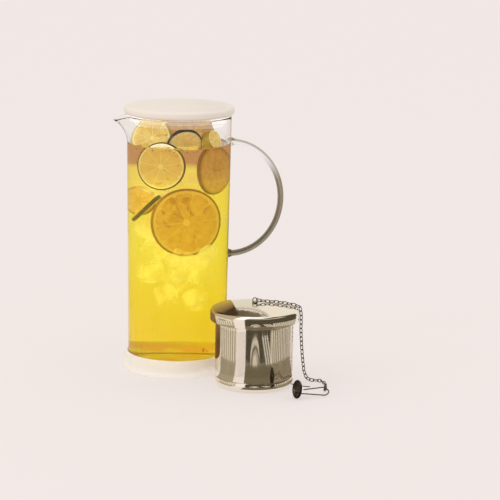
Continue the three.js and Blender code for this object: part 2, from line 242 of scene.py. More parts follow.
def soft_step(tree, value, low, high, top=1.0):
    """0 at low, top at high, and a soft change between them."""
    inputs = {"Value": value, "From Min": low, "From Max": high, "To Max": top}
    return node(tree, "MapRange", inputs, interpolation_type="SMOOTHSTEP").outputs["Result"]


def mix(tree, share, first, second):
    inputs = {"Factor": share, "A": first, "B": second}
    return node(tree, "Mix", inputs, data_type="RGBA").outputs["Result"]


def maths(tree, operation, *values):
    return node(tree, "Math", dict(enumerate(values)), operation=operation).outputs[0]


def ramp(tree, value, stops):
    """A colour ramp from (position, colour) stops, fed by a value."""
    made = node(tree, "ValToRGB", {"Fac": value})
    points = made.color_ramp.elements
    while len(points) < len(stops):
        points.new(0.5)
    for point, (where, colour) in zip(points, stops):
        point.position = where
        point.color = (*colour, 1)
    return made.outputs["Color"]


def plain(name, colour, roughness, **sockets):
    """A Principled material. Every keyword is one of its sockets, with _ for a space."""
    made = bpy.data.materials.new(name)
    made.use_nodes = True
    sockets = {"Base_Color": colour, "Roughness": roughness, **sockets}
    paint(made, {socket.replace("_", " "): value for socket, value in sockets.items()})
    return made


def paint(material, sockets):
    """Sets or joins sockets of the material's Principled shader."""
    tree = material.node_tree
    for socket, value in sockets.items():
        feed(tree, tree.nodes["Principled BSDF"].inputs[socket], value)


print("node helpers ready")

# %% [markdown]
# ## Studio
#
# The product stands on a white table in soft light that comes from everywhere, a little more from
# above and behind, so that it shines through the tea. The table is lit from within as well, as a
# photographer's light table is, so the shadows on it stay faint.

# %% Light and table
TABLE_COLOUR = (0.285, 0.265, 0.257)
TABLE_LIGHT = (0.575, 0.527, 0.511)
TABLE_REACH = 9000
WORLD_COLOUR = (1.0, 0.99, 0.985)
WORLD_STRENGTH = 0.90


def make_world():
    world = bpy.data.worlds.new("soft daylight")
    world.use_nodes = True
    ground = world.node_tree.nodes["Background"]
    feed(world.node_tree, ground.inputs["Color"], WORLD_COLOUR)
    feed(world.node_tree, ground.inputs["Strength"], WORLD_STRENGTH)
    scene.world = world


def make_table():
    reach = [(TABLE_REACH * x, TABLE_REACH * y, 0) for x, y in ((-1, -1), (1, -1), (1, 1), (-1, 1))]
    table = mesh_object("table", reach, [(0, 1, 2, 3)])
    if table.data.polygons[0].normal.z < 0:
        table.data.flip_normals()
    table.data.materials.append(plain("white table", TABLE_COLOUR, 1.0, Specular_IOR_Level=0.0,
                                      Emission_Color=TABLE_LIGHT, Emission_Strength=1.0))


def shine(name, kind, power, towards, place=(0, 0, 0), **settings):
    """A light at a place that shines one way."""
    data = bpy.data.lights.new(name, kind)
    data.energy = power
    for setting, value in settings.items():
        setattr(data, setting, value)
    light = bpy.data.objects.new(name, data)
    light.location = place
    light.rotation_euler = Vector(towards).to_track_quat("-Z", "Y").to_euler()
    scene.collection.objects.link(light)
    return light


make_world()
make_table()
shine("window", "SUN", 0.55, (0.35, 0.25, -1), angle=math.radians(70))
left_light = shine("left softbox", "AREA", 3, (1.3, 0.9, -0.68), (-1.3, -0.9, 0.8),
                   shape="RECTANGLE", size=0.5, size_y=1.1)
left_light.visible_glossy = False
scene.view_settings.view_transform = "Standard"
print("lights:", [light.name for light in bpy.data.lights])

# %% [markdown]
# ## Mirror cards
#
# Clear and shiny things look like what is round them: the steel needs dark and light shapes to
# mirror, or it would be as white as the table. A photographer stands cards round it, out of the
# picture. Here they are bent sheets that only mirror rays can see.
# Seen from a little above, an upright steel wall mirrors the table in front of it and whatever
# stands there, so the cards stand close to the infuser in an arc.

# %% Cards
INFUSER_AXIS = (70.0, -62.5)
CARD_RADIUS = 138
CARD_HEIGHT = 420
TABLE_CARD_HEIGHT = 0.6
CARD_STEP = 4


def glowing(name, colour):
    made = bpy.data.materials.new(name)
    made.use_nodes = True
    tree = made.node_tree
    tree.nodes.clear()
    glow = node(tree, "Emission", {"Color": colour})
    node(tree, "OutputMaterial", {"Surface": glow.outputs[0]})
    return made


def card(name, start, end, tone, edges, axis):
    """A card from one bearing round an axis to another: 0 is the front and 90 the right. Each of
    its two edges is a radius, a height and the degrees by which it is turned on."""
    steps = max(2, int(abs(end - start) / CARD_STEP))
    places, faces = [], []
    for i in range(steps + 1):
        for radius, height, turn in edges:
            bearing = math.radians(start + (end - start) * i / steps + turn)
            x = axis[0] + radius * math.sin(bearing)
            places.append((x, axis[1] - radius * math.cos(bearing), height))
        if i:
            faces.append((2 * i - 2, 2 * i, 2 * i + 1, 2 * i - 1))
    made = mesh_object(name, places, faces)
    made.data.materials.append(glowing(name, tone))
    for rays in ("camera", "diffuse", "transmission", "shadow", "volume_scatter"):
        setattr(made, "visible_" + rays, False)
    return made


def upright(name, start, end, tone, low=1.0, high=CARD_HEIGHT, radius=CARD_RADIUS, lean=0,
            axis=INFUSER_AXIS):
    return card(name, start, end, tone, ((radius, low, lean), (radius, high, 0)), axis)


def lying(name, start, end, tone, near=40):
    edges = [(radius, TABLE_CARD_HEIGHT, 0) for radius in (near, CARD_RADIUS)]
    return card(name, start, end, tone, edges, INFUSER_AXIS)


print("cards stand", CARD_RADIUS, "mm from the infuser's axis")

# %% [markdown]
# One gap in the arc lets the white table through and gives the wall its bright upright band.
# Narrow strips on the cards become the fine upright streaks, leaning strips and an arch become
# the shapes right of the band, and cards on the table darken the wall's lower part.

# %% Cards round the wall
DARK_TONE = (0.085, 0.068, 0.045)
SHADE_TONE = (0.17, 0.14, 0.09)
LEFT_TONE = (0.62, 0.55, 0.40)
UPPER_LEFT_TONE = (0.50, 0.43, 0.31)
RIGHT_TONE = (0.50, 0.44, 0.33)
PALE_TONE = (0.86, 0.79, 0.68)
RIGHT_TABLE_TONE = (0.27, 0.225, 0.15)
LEFT_TABLE_TONE = (0.38, 0.33, 0.23)
GAP_START, GAP_END = -50, -24
FRONT_END = 40
TABLE_CHANGE = 44
SIDE_END = 118
WALL_REACH = 32
LEFT_REACH = 55
STRIPE_RADIUS = CARD_RADIUS - 3
STRIP_FOOT = -2
ARCHES = [
    ("arch", 0, 11, 28, (0.70, 0.64, 0.52)),
    ("arch shade", 0.5, 9.5, 20, (0.10, 0.082, 0.052)),
    ("arch inside", 1, 7.5, 17, (0.42, 0.37, 0.28)),
    ("arch light", 0, 5.5, 11, (0.74, 0.68, 0.56)),
]
ARCH_SLATS = 16
ARCH_SHOULDER = 0.35


def arch_card(name, middle, half_width, top, tone, radius):
    """An arch cut from card: narrow upright slats whose tops follow half a circle."""
    width = 2 * half_width / ARCH_SLATS
    for i in range(ARCH_SLATS):
        across = (i + 0.5) / ARCH_SLATS * 2 - 1
        share = ARCH_SHOULDER + (1 - ARCH_SHOULDER) * math.sqrt(1 - across * across)
        start = middle + half_width * (2 * i / ARCH_SLATS - 1)
        high = STRIP_FOOT + (top - STRIP_FOOT) * share
        upright(f"{name} {i}", start, start + width, tone, STRIP_FOOT, high, radius)


def stripes(side, starts, width, reach, line_at, line_width, line_tone):
    """Pale stripes with a darker line between each two."""
    for start in starts:
        line = start + line_at
        upright(f"{side} stripe {start}", start, start + width, PALE_TONE, high=reach,
                radius=STRIPE_RADIUS)
        upright(f"{side} line {start}", line, line + line_width, line_tone, high=WALL_REACH,
                radius=STRIPE_RADIUS)


upright("dark card", GAP_END, FRONT_END, DARK_TONE)
upright("left card", -SIDE_END, GAP_START, LEFT_TONE, high=LEFT_REACH)
upright("upper left card", -SIDE_END, GAP_START, UPPER_LEFT_TONE, low=LEFT_REACH)
upright("right card", FRONT_END, SIDE_END, RIGHT_TONE, high=WALL_REACH)
upright("right dark card", FRONT_END, SIDE_END, DARK_TONE, low=WALL_REACH)
for step, arch in enumerate(ARCHES):
    arch_card(*arch, STRIPE_RADIUS - step)
for start in (17, 23, 29):
    upright(f"leaning strip {start}", start, start + 2.8, PALE_TONE, STRIP_FOOT, WALL_REACH - 3,
            STRIPE_RADIUS, lean=14)
stripes("left", range(-114, -52, 7), 2.2, WALL_REACH + 8, 3.6, 1.4, SHADE_TONE)
stripes("right", range(44, 112, 6), 1.8, WALL_REACH, 3, 1.6, DARK_TONE)
lying("dark table card", GAP_END, TABLE_CHANGE, SHADE_TONE)
lying("right table card", TABLE_CHANGE, SIDE_END, RIGHT_TABLE_TONE)
lying("left table card", -SIDE_END, GAP_START, LEFT_TABLE_TONE, near=52)
upright("left mark", -96, -72, DARK_TONE, 35.5, 40, STRIPE_RADIUS - 1)
upright("left rim", -104, -56, PALE_TONE, 44, 53, STRIPE_RADIUS - 1)
print("cards round the wall:", len(bpy.data.materials) - 1)

# %% [markdown]
# The infuser's lid looks up, so it mirrors what stands higher and further back: two pale cards and
# a stair of dark ones that ends in a soft edge. On its left it mirrors the jug. A card in front of
# the jug, graded from dark to light, turns that mirror image to dark amber.

# %% Cards for the lid
LID_CARD_TONES = {"right": (0.87, 0.81, 0.72), "left": (0.76, 0.71, 0.60)}
LID_CARD_ENDS = {"right": (120, 176), "left": (176, 235)}
LID_SHADES = 6
LID_SHADE_START = 173.5
LID_SHADE_WIDTH = 2.2
LID_SHADE_TONE = (0.125, 0.098, 0.055)
LID_SHADE_STEP = 0.012
AMBER_GRADES = [
    (0.00, (0.17, 0.080, 0.022)), (0.07, (0.15, 0.072, 0.020)), (0.15, (0.26, 0.150, 0.048)),
    (0.21, (0.22, 0.125, 0.040)), (0.25, (0.56, 0.390, 0.070)), (0.305, (0.34, 0.230, 0.068)),
    (0.340, (0.24, 0.155, 0.060)), (0.375, (0.07, 0.038, 0.020)), (0.52, (0.050, 0.030, 0.018)),
    (0.62, (0.26, 0.155, 0.052)), (1.00, (0.55, 0.380, 0.160)),
]


def grade(made, stops):
    """Paints a card from its lower edge to its upper edge."""
    tree = made.data.materials[0].node_tree
    split = node(tree, "SeparateXYZ", {0: node(tree, "TexCoord").outputs["Generated"]})
    feed(tree, tree.nodes["Emission"].inputs["Color"], ramp(tree, split.outputs["Z"], stops))


for side, tone in LID_CARD_TONES.items():
    upright(f"lid card {side}", *LID_CARD_ENDS[side], tone, 60, 900, 420)
for step in range(LID_SHADES):
    start = LID_SHADE_START + LID_SHADE_WIDTH * step
    tone = [dark + (LID_SHADES - 1 - step) * LID_SHADE_STEP for dark in LID_SHADE_TONE]
    upright(f"lid shade {step}", start, start + LID_SHADE_WIDTH, tone, 375 - 18 * step, 520, 415)
upright("lid line", -24, 90, RIGHT_TONE, 150, 235, STRIPE_RADIUS)
grade(upright("amber card", -10, 112, DARK_TONE, 18, 236, 48.9, axis=(0, 0)), AMBER_GRADES)
print("grades on the amber card:", len(AMBER_GRADES))

# %% [markdown]
# ## Shared shader groups
#
# Two effects are used on many finishes. Handling leaves soft patches where a polished surface is
# a little less polished, and moulded or drawn surfaces have a fine unevenness. Each is a node
# group, so every material can place it with its own scale and amount.

# %% Shader groups
def new_group(name, inputs, output):
    """A group that turns numbers or vectors into one number: its tree, inputs and output."""
    group = bpy.data.node_groups.new(name, "ShaderNodeTree")
    for label, value in inputs.items():
        kind = "NodeSocketVector" if isinstance(value, tuple) else "NodeSocketFloat"
        group.interface.new_socket(label, in_out="INPUT", socket_type=kind).default_value = value
    group.interface.new_socket(output, in_out="OUTPUT", socket_type="NodeSocketFloat")
    given, result = group.nodes.new("NodeGroupInput"), group.nodes.new("NodeGroupOutput")
    return group, given.outputs, result.inputs[output]


def handling_group():
    """Roughness that wanders between two values in soft patches."""
    group, given, result = new_group("handling", {"Scale": 60.0, "Low": 0.1, "High": 0.2}, "Roughness")
    patches = noise(group, place_in(group), given["Scale"], 3.0)
    spread = node(group, "MapRange", {"Value": patches, "From Min": 0.35, "From Max": 0.65,
                                      "To Min": given["Low"], "To Max": given["High"]})
    feed(group, result, spread.outputs["Result"])
    return group


def unevenness_group():
    """Height of a fine, cloudy unevenness."""
    group, given, result = new_group("unevenness", {"Scale": 400.0, "Stretch": (1.0, 1.0, 1.0)}, "Height")
    inputs = {0: place_in(group), 1: given["Stretch"]}
    stretched = node(group, "VectorMath", inputs, operation="MULTIPLY").outputs[0]
    feed(group, result, noise(group, stretched, given["Scale"], 4.0))
    return group


HANDLING = handling_group()
UNEVENNESS = unevenness_group()


def add_handling(material, low, high, scale=60.0):
    inputs = {"Scale": scale, "Low": low, "High": high}
    patches = node(material.node_tree, "Group", node_tree=HANDLING)
    for socket, value in inputs.items():
        patches.inputs[socket].default_value = value
    paint(material, {"Roughness": patches.outputs["Roughness"]})


def add_bump(material, height, strength, distance):
    inputs = {"Height": height, "Strength": strength, "Distance": distance}
    paint(material, {"Normal": node(material.node_tree, "Bump", inputs).outputs["Normal"]})


def add_unevenness(material, scale, strength, distance, stretch=(1, 1, 1)):
    inputs = {"Scale": scale, "Stretch": stretch}
    uneven = node(material.node_tree, "Group", inputs, node_tree=UNEVENNESS)
    add_bump(material, uneven.outputs["Height"], strength, distance)


print("shader groups:", [g.name for g in bpy.data.node_groups])

# %% [markdown]
# ## Glass
#
# The jug is thin, clear and almost colourless. On a white table only its edges, its rim and its
# foot draw lines. One sees them where one looks along the surface and through the most glass, so
# a Layer Weight node darkens the glass there: partly its own tint through the thickness, partly
# painted shade for the darker room that the edges bend and mirror.

# %% Glass finish
GLASS_TINT = (0.995, 0.997, 0.993)
# painted shade at the edges, partly the glass's own tint
GLASS_EDGE_SHADE = (0.66, 0.63, 0.58)
GLASS_BEND = 1.30
EDGE_START = 0.70


def glass_finish():
    """Clear glass, darker where it is seen along its surface: partly its tint, partly painted shade."""
    made = plain("jug glass", GLASS_TINT, 0.0, Transmission_Weight=1.0, IOR=GLASS_BEND)
    add_handling(made, 0.0, 0.025, 45.0)
    tree = made.node_tree
    grazing = node(tree, "LayerWeight").outputs["Facing"]
    rim = soft_step(tree, grazing, EDGE_START, 1.0)
    paint(made, {"Base Color": mix(tree, rim, GLASS_TINT, GLASS_EDGE_SHADE)})
    return made


jug_glass = glass_finish()
print("glass:", jug_glass.name)

# %% [markdown]
# The jug is one blown piece: a flat foot with a rounded heel, a wall that widens a little towards
# the mouth, and a fire-rounded lip. The spout was drawn out of the soft lip with one pull, so here
# too it is a pull: every place near the lip is moved outwards by a bell curve.

# %% Jug
RIM_HEIGHT = 236.7
MOUTH_RADIUS = 47.9
FOOT_RADIUS = 45.3
GLASS_WALL = 2.6
JUG_BASE = 3.5
JUG_FLOOR = 9.0
HEEL = 7.0
SPOUT_REACH = 13
SPOUT_DROOP = 5
SPOUT_HALF_WIDTH = 11
SPOUT_DEPTH = 24
SPOUT_FADE = 1.7
WALL_STEPS = 14


def wall_radius(height):
    """Outer radius of the glass at a height."""
    share = (height - JUG_BASE) / (RIM_HEIGHT - JUG_BASE)
    return FOOT_RADIUS + (MOUTH_RADIUS - FOOT_RADIUS) * share


def draw_spout(place):
    """The soft glass of the lip drawn outwards and a little down, fading away down the wall."""
    x, y, z = place
    radius, angle = math.hypot(x, y), math.atan2(y, -x)
    across = angle * MOUTH_RADIUS / SPOUT_HALF_WIDTH
    up = min(1, max(0, (z - RIM_HEIGHT + SPOUT_DEPTH) / SPOUT_DEPTH))
    pull = math.exp(-across * across) * up ** SPOUT_FADE
    radius += SPOUT_REACH * pull
    return (-radius * math.cos(angle), radius * math.sin(angle), z - SPOUT_DROOP * pull * up)


def jug_outline():
    lip = GLASS_WALL / 2
    top = RIM_HEIGHT - lip
    heights = [top - SPOUT_DEPTH * (1 - i / WALL_STEPS) for i in range(WALL_STEPS)]
    inner_heel = HEEL - GLASS_WALL
    outline = [(0, JUG_BASE)]
    outline += arc((FOOT_RADIUS - HEEL, JUG_BASE + HEEL), HEEL, -90, 0)
    outline += [(wall_radius(z), z) for z in heights]
    outline += arc((MOUTH_RADIUS - lip, top), lip, 0, 180)
    outline += [(wall_radius(z) - GLASS_WALL, z) for z in reversed(heights)]
    outline += arc((FOOT_RADIUS - GLASS_WALL - inner_heel, JUG_FLOOR + inner_heel), inner_heel, 0, -90)
    return outline + [(0, JUG_FLOOR)]


jug = turned("glass_jug", jug_outline(), 240, shape=draw_spout)
dress(jug, "jug", [jug_glass], "glass", "jug_glass", shadow=False)
print("jug faces:", len(jug.data.polygons))

# %% [markdown]
# ## Handle
#
# The handle is a solid rod, which bends light much more than a thin wall does. The upper part is
# clear, with one grey line along its outside. Round the bend and below, the rod gathers the dark
# of the room into a core along its inner side, with a bright line beside it. These lines are
# painted shade and a painted highlight in the rod's colour, and the painting follows the side that
# the surface faces: towards the middle of the handle or away from it.

# %% Handle
HANDLE_TOP = 212.7
HANDLE_BOTTOM = 108.3
HANDLE_MIDDLE = (HANDLE_TOP + HANDLE_BOTTOM) / 2
HANDLE_HALF = (HANDLE_TOP - HANDLE_BOTTOM) / 2
HANDLE_REACH = 47
HANDLE_RADIUS = 2.8
FOOT_SPREAD = 1.3
FOOT_LENGTH = 4.5
HANDLE_STEPS = 120
# painted shade and a painted highlight across the rod, from its inner side to its outer side
ROD_TOP_PAINTED_LIGHT = [(0.0, (0.98, 0.97, 0.95)), (0.62, (0.97, 0.96, 0.94)),
                 (0.84, (0.17, 0.15, 0.12)), (1.0, (0.50, 0.46, 0.38))]
ROD_LOW_PAINTED_LIGHT = [(0.0, (0.50, 0.44, 0.32)), (0.15, (0.07, 0.055, 0.03)), (0.42, (0.13, 0.105, 0.06)),
                 (0.66, (0.95, 0.90, 0.80)), (1.0, (0.50, 0.45, 0.34))]
ROD_CHANGE = (0.176, 0.204)
ROD_MIDDLE = Vector((wall_radius(160.0), 0, HANDLE_MIDDLE)) * MM


def handle_point(share):
    height = HANDLE_MIDDLE + HANDLE_HALF * math.cos(math.pi * share)
    return (wall_radius(height) + HANDLE_REACH * math.sin(math.pi * share), 0, height)


def handle_radius(share):
    """The rod spreads where it is melted onto the wall."""
    length = math.pi * (HANDLE_REACH + HANDLE_HALF) / 2
    spread = max(0, 1 - min(share, 1 - share) * length / FOOT_LENGTH)
    return HANDLE_RADIUS + FOOT_SPREAD * spread * spread * (3 - 2 * spread)


# The rod's colour carries painted shade and a painted highlight.
def rod_finish():
    made = plain("rod glass", (0.9, 0.88, 0.84), 0.01, Transmission_Weight=1.0, IOR=1.45)
    tree = made.node_tree
    source = node(tree, "TexCoord").outputs
    away = node(tree, "VectorMath", {0: source["Object"], 1: ROD_MIDDLE}, operation="SUBTRACT")
    outward = node(tree, "VectorMath", {0: away.outputs[0]}, operation="NORMALIZE")
    inputs = {0: outward.outputs[0], 1: source["Normal"]}
    facing = node(tree, "VectorMath", inputs, operation="DOT_PRODUCT").outputs["Value"]
    share = node(tree, "MapRange", {"Value": facing, "From Min": -1.0}).outputs["Result"]
    height = node(tree, "SeparateXYZ", {0: source["Object"]}).outputs["Z"]
    low, high = ramp(tree, share, ROD_LOW_PAINTED_LIGHT), ramp(tree, share, ROD_TOP_PAINTED_LIGHT)
    paint(made, {"Base Color": mix(tree, soft_step(tree, height, *ROD_CHANGE), low, high)})
    return made


handle_path = [handle_point(i / HANDLE_STEPS) for i in range(HANDLE_STEPS + 1)]
handle = swept("glass_rod_handle", handle_path, handle_radius, 24)
dress(handle, "jug", [rod_finish()], "glass", "glass_handle", shadow=False)
print("handle faces:", len(handle.data.polygons))

# %% [markdown]
# ## Tea
#
# The tea is bright yellow where light comes through it and deeper gold towards the bottom, so a
# ramp along Z paints it. The ramp holds the tea's own yellow and painted light and shade: a bright
# band at the floor where light comes up through the boot, and a narrow amber band of painted shade
# just above it, where the boot stands behind. Under its surface a dark amber band of painted shade
# shows behind the fruit: there one looks at the far wall, so the band is painted only where a ray
# leaves the tea. Light scattered in the cloudy drink is painted as a weak glow. The body of tea
# reaches into the thickness of the glass, because a wall of glass makes what is in it look as wide
# as the jug.

# %% Tea
TEA_SURFACE = 212.0
TEA_INTO_GLASS = 1.7
TEA_SINK = 0.4
TEA_WALL_FOOT = 20
MENISCUS = [(1.6, 0.1), (3.2, 0.9), (6, 1.1)]
# the tea's own yellow with painted light and shade along its height
TEA_COLOURS_AND_LIGHT = [
    (0.000, (1.00, 0.92, 0.05)), (0.051, (1.00, 0.90, 0.05)), (0.062, (1.00, 0.48, 0.05)),
    (0.077, (1.00, 0.50, 0.05)), (0.092, (1.00, 0.79, 0.045)), (0.150, (0.97, 0.69, 0.035)),
    (0.220, (0.93, 0.71, 0.028)), (0.370, (0.93, 0.74, 0.032)), (0.560, (0.935, 0.80, 0.058)),
    (0.830, (0.93, 0.77, 0.076)), (0.900, (0.92, 0.72, 0.13)),
]
TEA_CLOUD = 0.10
# a band of painted shade under the surface
SHADE_BAND_COLOUR = (0.27, 0.06, 0.08)
SHADE_BAND_LOW = 0.885
SHADE_BAND_HIGH = 0.925
# painted light scattered in the drink
TEA_PAINTED_GLOW = 0.05


def tea_finish():
    made = plain("tea", (0.9, 0.7, 0.05), 0.04, Transmission_Weight=0.94, IOR=1.22,
                 Emission_Strength=TEA_PAINTED_GLOW)
    tree = made.node_tree
    place = place_in(tree)
    height = node(tree, "SeparateXYZ", {0: place}).outputs["Z"]
    inputs = {"Value": height, "From Min": JUG_FLOOR * MM, "From Max": TEA_SURFACE * MM}
    share = node(tree, "MapRange", inputs).outputs["Result"]
    drift = maths(tree, "MULTIPLY_ADD", noise(tree, place, 34.0, 3.0), TEA_CLOUD, share)
    tint = ramp(tree, drift, TEA_COLOURS_AND_LIGHT)
    leaving = node(tree, "NewGeometry").outputs["Backfacing"]
    # painted shade, on the far wall only
    band = maths(tree, "MULTIPLY", soft_step(tree, drift, SHADE_BAND_LOW, SHADE_BAND_HIGH), leaving)
    paint(made, {"Base Color": mix(tree, band, tint, SHADE_BAND_COLOUR), "Emission Color": tint})
    return made


def tea_outline():
    def wall(height):
        return wall_radius(height) - GLASS_WALL + TEA_INTO_GLASS

    low = JUG_FLOOR - TEA_SINK
    heel = HEEL - GLASS_WALL + TEA_INTO_GLASS
    edge = wall(TEA_SURFACE)
    outline = [(0, low)] + arc((wall(low) - heel, low + heel), heel, -90, 0)
    outline += [(wall(z), z) for z in np.linspace(TEA_WALL_FOOT, TEA_SURFACE, 24)]
    outline += [(edge - inward, TEA_SURFACE - down) for inward, down in MENISCUS]
    return outline + [(0, TEA_SURFACE - MENISCUS[-1][1])]


tea = turned("tea", tea_outline(), 200)
dress(tea, "jug", [tea_finish()], "glass", shadow=False)
print("tea, mm:", [round(x / MM) for x in tea.dimensions])

# %% [markdown]
# ## Citrus finishes
#
# A slice of lime or orange has a thin skin, a pale pith and wedges of flesh. The flesh drifts
# between two colours and is bumpy with juice sacs, the skin is pitted. Soft brown marks lie on
# the flesh; on the orange they gather near the top of the slice as painted shade. Fruit is full
# of light where it floats in a bright drink, which a weak glow of its own colour stands for.

# %% Citrus finishes
FRUIT_GLOW = 0.12
DRIFT_SCALE = 170.0
MARK_SCALE = 88.0
MARK_TWIST = 1.2
# brown of the marks, and of the painted shade where they gather
MARK_AND_SHADE_COLOUR = (0.62, 0.27, 0.09)
MARK_REACH = 27.0
MARK_PULL, MARK_PUSH = 0.12, 0.20
SAC_SCALE = 520.0
SAC_HEIGHT = 0.0006
PIT_SCALE = 700.0
PIT_HEIGHT = 0.0004


def gathered(tree, place, value, heart):
    """The value raised near a place in millimetres, and lowered away from it: painted shade gathers there.
    """
    away = node(tree, "VectorMath", {0: place, 1: Vector(heart) * MM}, operation="DISTANCE")
    inputs = {"Value": away.outputs["Value"], "From Max": MARK_REACH * MM,
              "To Min": MARK_PULL, "To Max": -MARK_PUSH}
    return maths(tree, "ADD", node(tree, "MapRange", inputs).outputs["Result"], value)


def citrus_flesh(name, pale, deep, marks=0.0, glow=FRUIT_GLOW, heart=None):
    """Flesh that drifts between two colours, with soft brown marks over a share of it. With a
    heart, a place in millimetres, the marks gather round it as painted shade."""
    made = plain(name, pale, 0.25, Emission_Strength=glow)
    tree = made.node_tree
    place = place_in(tree)
    drift = soft_step(tree, noise(tree, place, DRIFT_SCALE, 3.0), 0.35, 0.65)
    marked = noise(tree, place, MARK_SCALE, 3.0, MARK_TWIST)
    if heart is not None:
        marked = gathered(tree, place, marked, heart)
    marked = soft_step(tree, marked, 0.60 - marks, 0.80 - marks)
    colour = mix(tree, marked, mix(tree, drift, pale, deep), MARK_AND_SHADE_COLOUR)
    sacs = node(tree, "TexVoronoi", {"Vector": place, "Scale": SAC_SCALE}).outputs["Distance"]
    paint(made, {"Base Color": colour, "Emission Color": colour})
    add_bump(made, sacs, 0.35, SAC_HEIGHT)
    return made


def citrus_skin(name, colour, glow=0.0):
    made = plain(name, colour, 0.35, Emission_Color=colour, Emission_Strength=glow)
    add_unevenness(made, PIT_SCALE, 0.4, PIT_HEIGHT)
    return made


def citrus(fruit, skin, pith, pith_glow, pale, deep, **flesh):
    """The three finishes of a fruit: skin, pith and flesh."""
    return [citrus_skin(fruit + " skin", skin), citrus_skin(fruit + " pith", pith, pith_glow),
            citrus_flesh(fruit + " flesh", pale, deep, **flesh)]


lime = citrus("lime", (0.055, 0.060, 0.012), (0.99, 0.93, 0.62), 0.3,
              (0.98, 0.87, 0.40), (0.93, 0.78, 0.32), glow=0.2)
# the orange's marks gather near the top of its slice as painted shade
orange = citrus("orange", (0.46, 0.19, 0.06), (0.92, 0.64, 0.26), 0.14,
                (0.91, 0.55, 0.18), (0.82, 0.45, 0.14), marks=0.17, heart=(1, -28, 156))
amber = citrus("amber", (0.40, 0.20, 0.07), (0.80, 0.56, 0.25), 0.0,
               (0.92, 0.64, 0.28), (0.80, 0.52, 0.21), glow=0.14)
lemon = citrus("lemon", (0.66, 0.46, 0.05), (0.92, 0.77, 0.27), 0.2,
               (0.87, 0.64, 0.14), (0.78, 0.50, 0.08), glow=0.18)
golden = citrus("golden", (0.44, 0.24, 0.03), (0.88, 0.66, 0.26), 0.0,
                (0.84, 0.58, 0.19), (0.70, 0.42, 0.12), marks=0.06, glow=0.18)
floating_lime = citrus("floating lime", (0.034, 0.027, 0.022), (0.92, 0.76, 0.34), 0.0,
                       (0.90, 0.68, 0.24), (0.80, 0.54, 0.15), glow=0.18)
print("materials so far:", len(bpy.data.materials))

# %% [markdown]
# ## Citrus slices
#
# The mesh of a slice follows its plan: its rings lie on the borders of skin, pith and flesh, and
# its spokes run along both sides of every wall between wedges, so each part of the slice is whole
# faces and can have its own material. The wedges of flesh stand a little proud of the walls, and
# the outermost rings round the skin off.

# %% The plan of a slice
SKIN_SHARE = 0.055
PITH_SHARE = 0.075
CORE_SHARE = 0.10
FLESH_SHARE = 1 - SKIN_SHARE - PITH_SHARE
FLESH_RINGS = (0, 0.06, 0.3, 0.6, 0.85, 0.96)
MEMBRANE = 0.2
WIDEST_MEMBRANE = 0.3
WEDGE_STEPS = 10
WEDGE_CORNER = 0.07
FLESH_PROUD = 0.35
SKIN_ROUNDING = 0.28
MIDDLE_THICKNESS = 0.9
SKIN, PITH, FLESH = 0, 1, 2
RINGS = [(CORE_SHARE * 0.5, PITH)]
RINGS += [(CORE_SHARE + (FLESH_SHARE - CORE_SHARE) * t, FLESH) for t in FLESH_RINGS]
RINGS += [(FLESH_SHARE, PITH), (FLESH_SHARE + PITH_SHARE * 0.5, PITH)]
RINGS += [(1 - SKIN_SHARE, SKIN), (1 - SKIN_SHARE * 0.5, SKIN), (1, SKIN)]
print("rings of a slice:", len(RINGS))


# %% One slice
def slice_spot(radius, thickness, wedges, ring, spoke):
    """A place on the upper side of a flat slice."""
    share, part = RINGS[ring]
    wedge, step = divmod(spoke, WEDGE_STEPS)
    wedge_angle = math.tau / wedges
    half_wall = min(MEMBRANE / (radius * share), WIDEST_MEMBRANE * wedge_angle)
    across = max(0, step - 1) / (WEDGE_STEPS - 1)
    angle = wedge_angle * wedge - half_wall
    if step:
        angle += 2 * half_wall + across * (wedge_angle - 2 * half_wall)
    middle = abs(2 * across - 1) if step else 1
    reach = share
    if part == FLESH or share == FLESH_SHARE:
        reach -= WEDGE_CORNER * middle ** 8 * (share / FLESH_SHARE) ** 3
    proud = FLESH_PROUD * (1 - middle ** 4) if CORE_SHARE < share < FLESH_SHARE else 0
    round_off = max(0, (share - 1 + SKIN_SHARE) / SKIN_SHARE)
    height = thickness / 2 - thickness * SKIN_ROUNDING * round_off ** 2 + proud
    return Vector((radius * reach * math.cos(angle), radius * reach * math.sin(angle), height))


def slice_faces(spokes):
    """Faces of both sides and of the rim, each with the part of the fruit that it shows."""
    half = 1 + len(RINGS) * spokes
    last = len(RINGS) - 1

    def at(side, ring, spoke):
        return side * half + 1 + ring * spokes + spoke % spokes

    for side in (0, 1):
        for j in range(spokes):
            yield (side * half, at(side, 0, j), at(side, 0, j + 1)), PITH
            for i in range(last):
                face = at(side, i, j), at(side, i + 1, j), at(side, i + 1, j + 1), at(side, i, j + 1)
                wall = j % WEDGE_STEPS == 0 and RINGS[i][1] == FLESH
                yield face, PITH if wall else RINGS[i][1]
    for j in range(spokes):
        yield (at(0, last, j), at(1, last, j), at(1, last, j + 1), at(0, last, j + 1)), SKIN


def bend(place, radius, curl):
    """Rolls a flat place round the Y axis so that the whole width turns by curl."""
    if not curl:
        return place
    roll = 2 * radius / curl
    angle = place.x / roll
    reach = roll - place.z
    return Vector((reach * math.sin(angle), place.y, roll - reach * math.cos(angle)))


def cut_level(piece, height):
    """Cuts away what lies below a height in millimetres, and closes the cut with flesh."""
    work = bmesh.new()
    work.from_mesh(piece.data)
    everything = work.verts[:] + work.edges[:] + work.faces[:]
    cut = bmesh.ops.bisect_plane(work, geom=everything, plane_co=(0, 0, height * MM), plane_no=(0, 0, 1),
                                 clear_inner=True)
    edges = [e for e in cut["geom_cut"] if isinstance(e, bmesh.types.BMEdge)]
    for face in bmesh.ops.holes_fill(work, edges=edges)["faces"]:
        face.material_index = FLESH
        face.smooth = False
    work.to_mesh(piece.data)
    work.free()


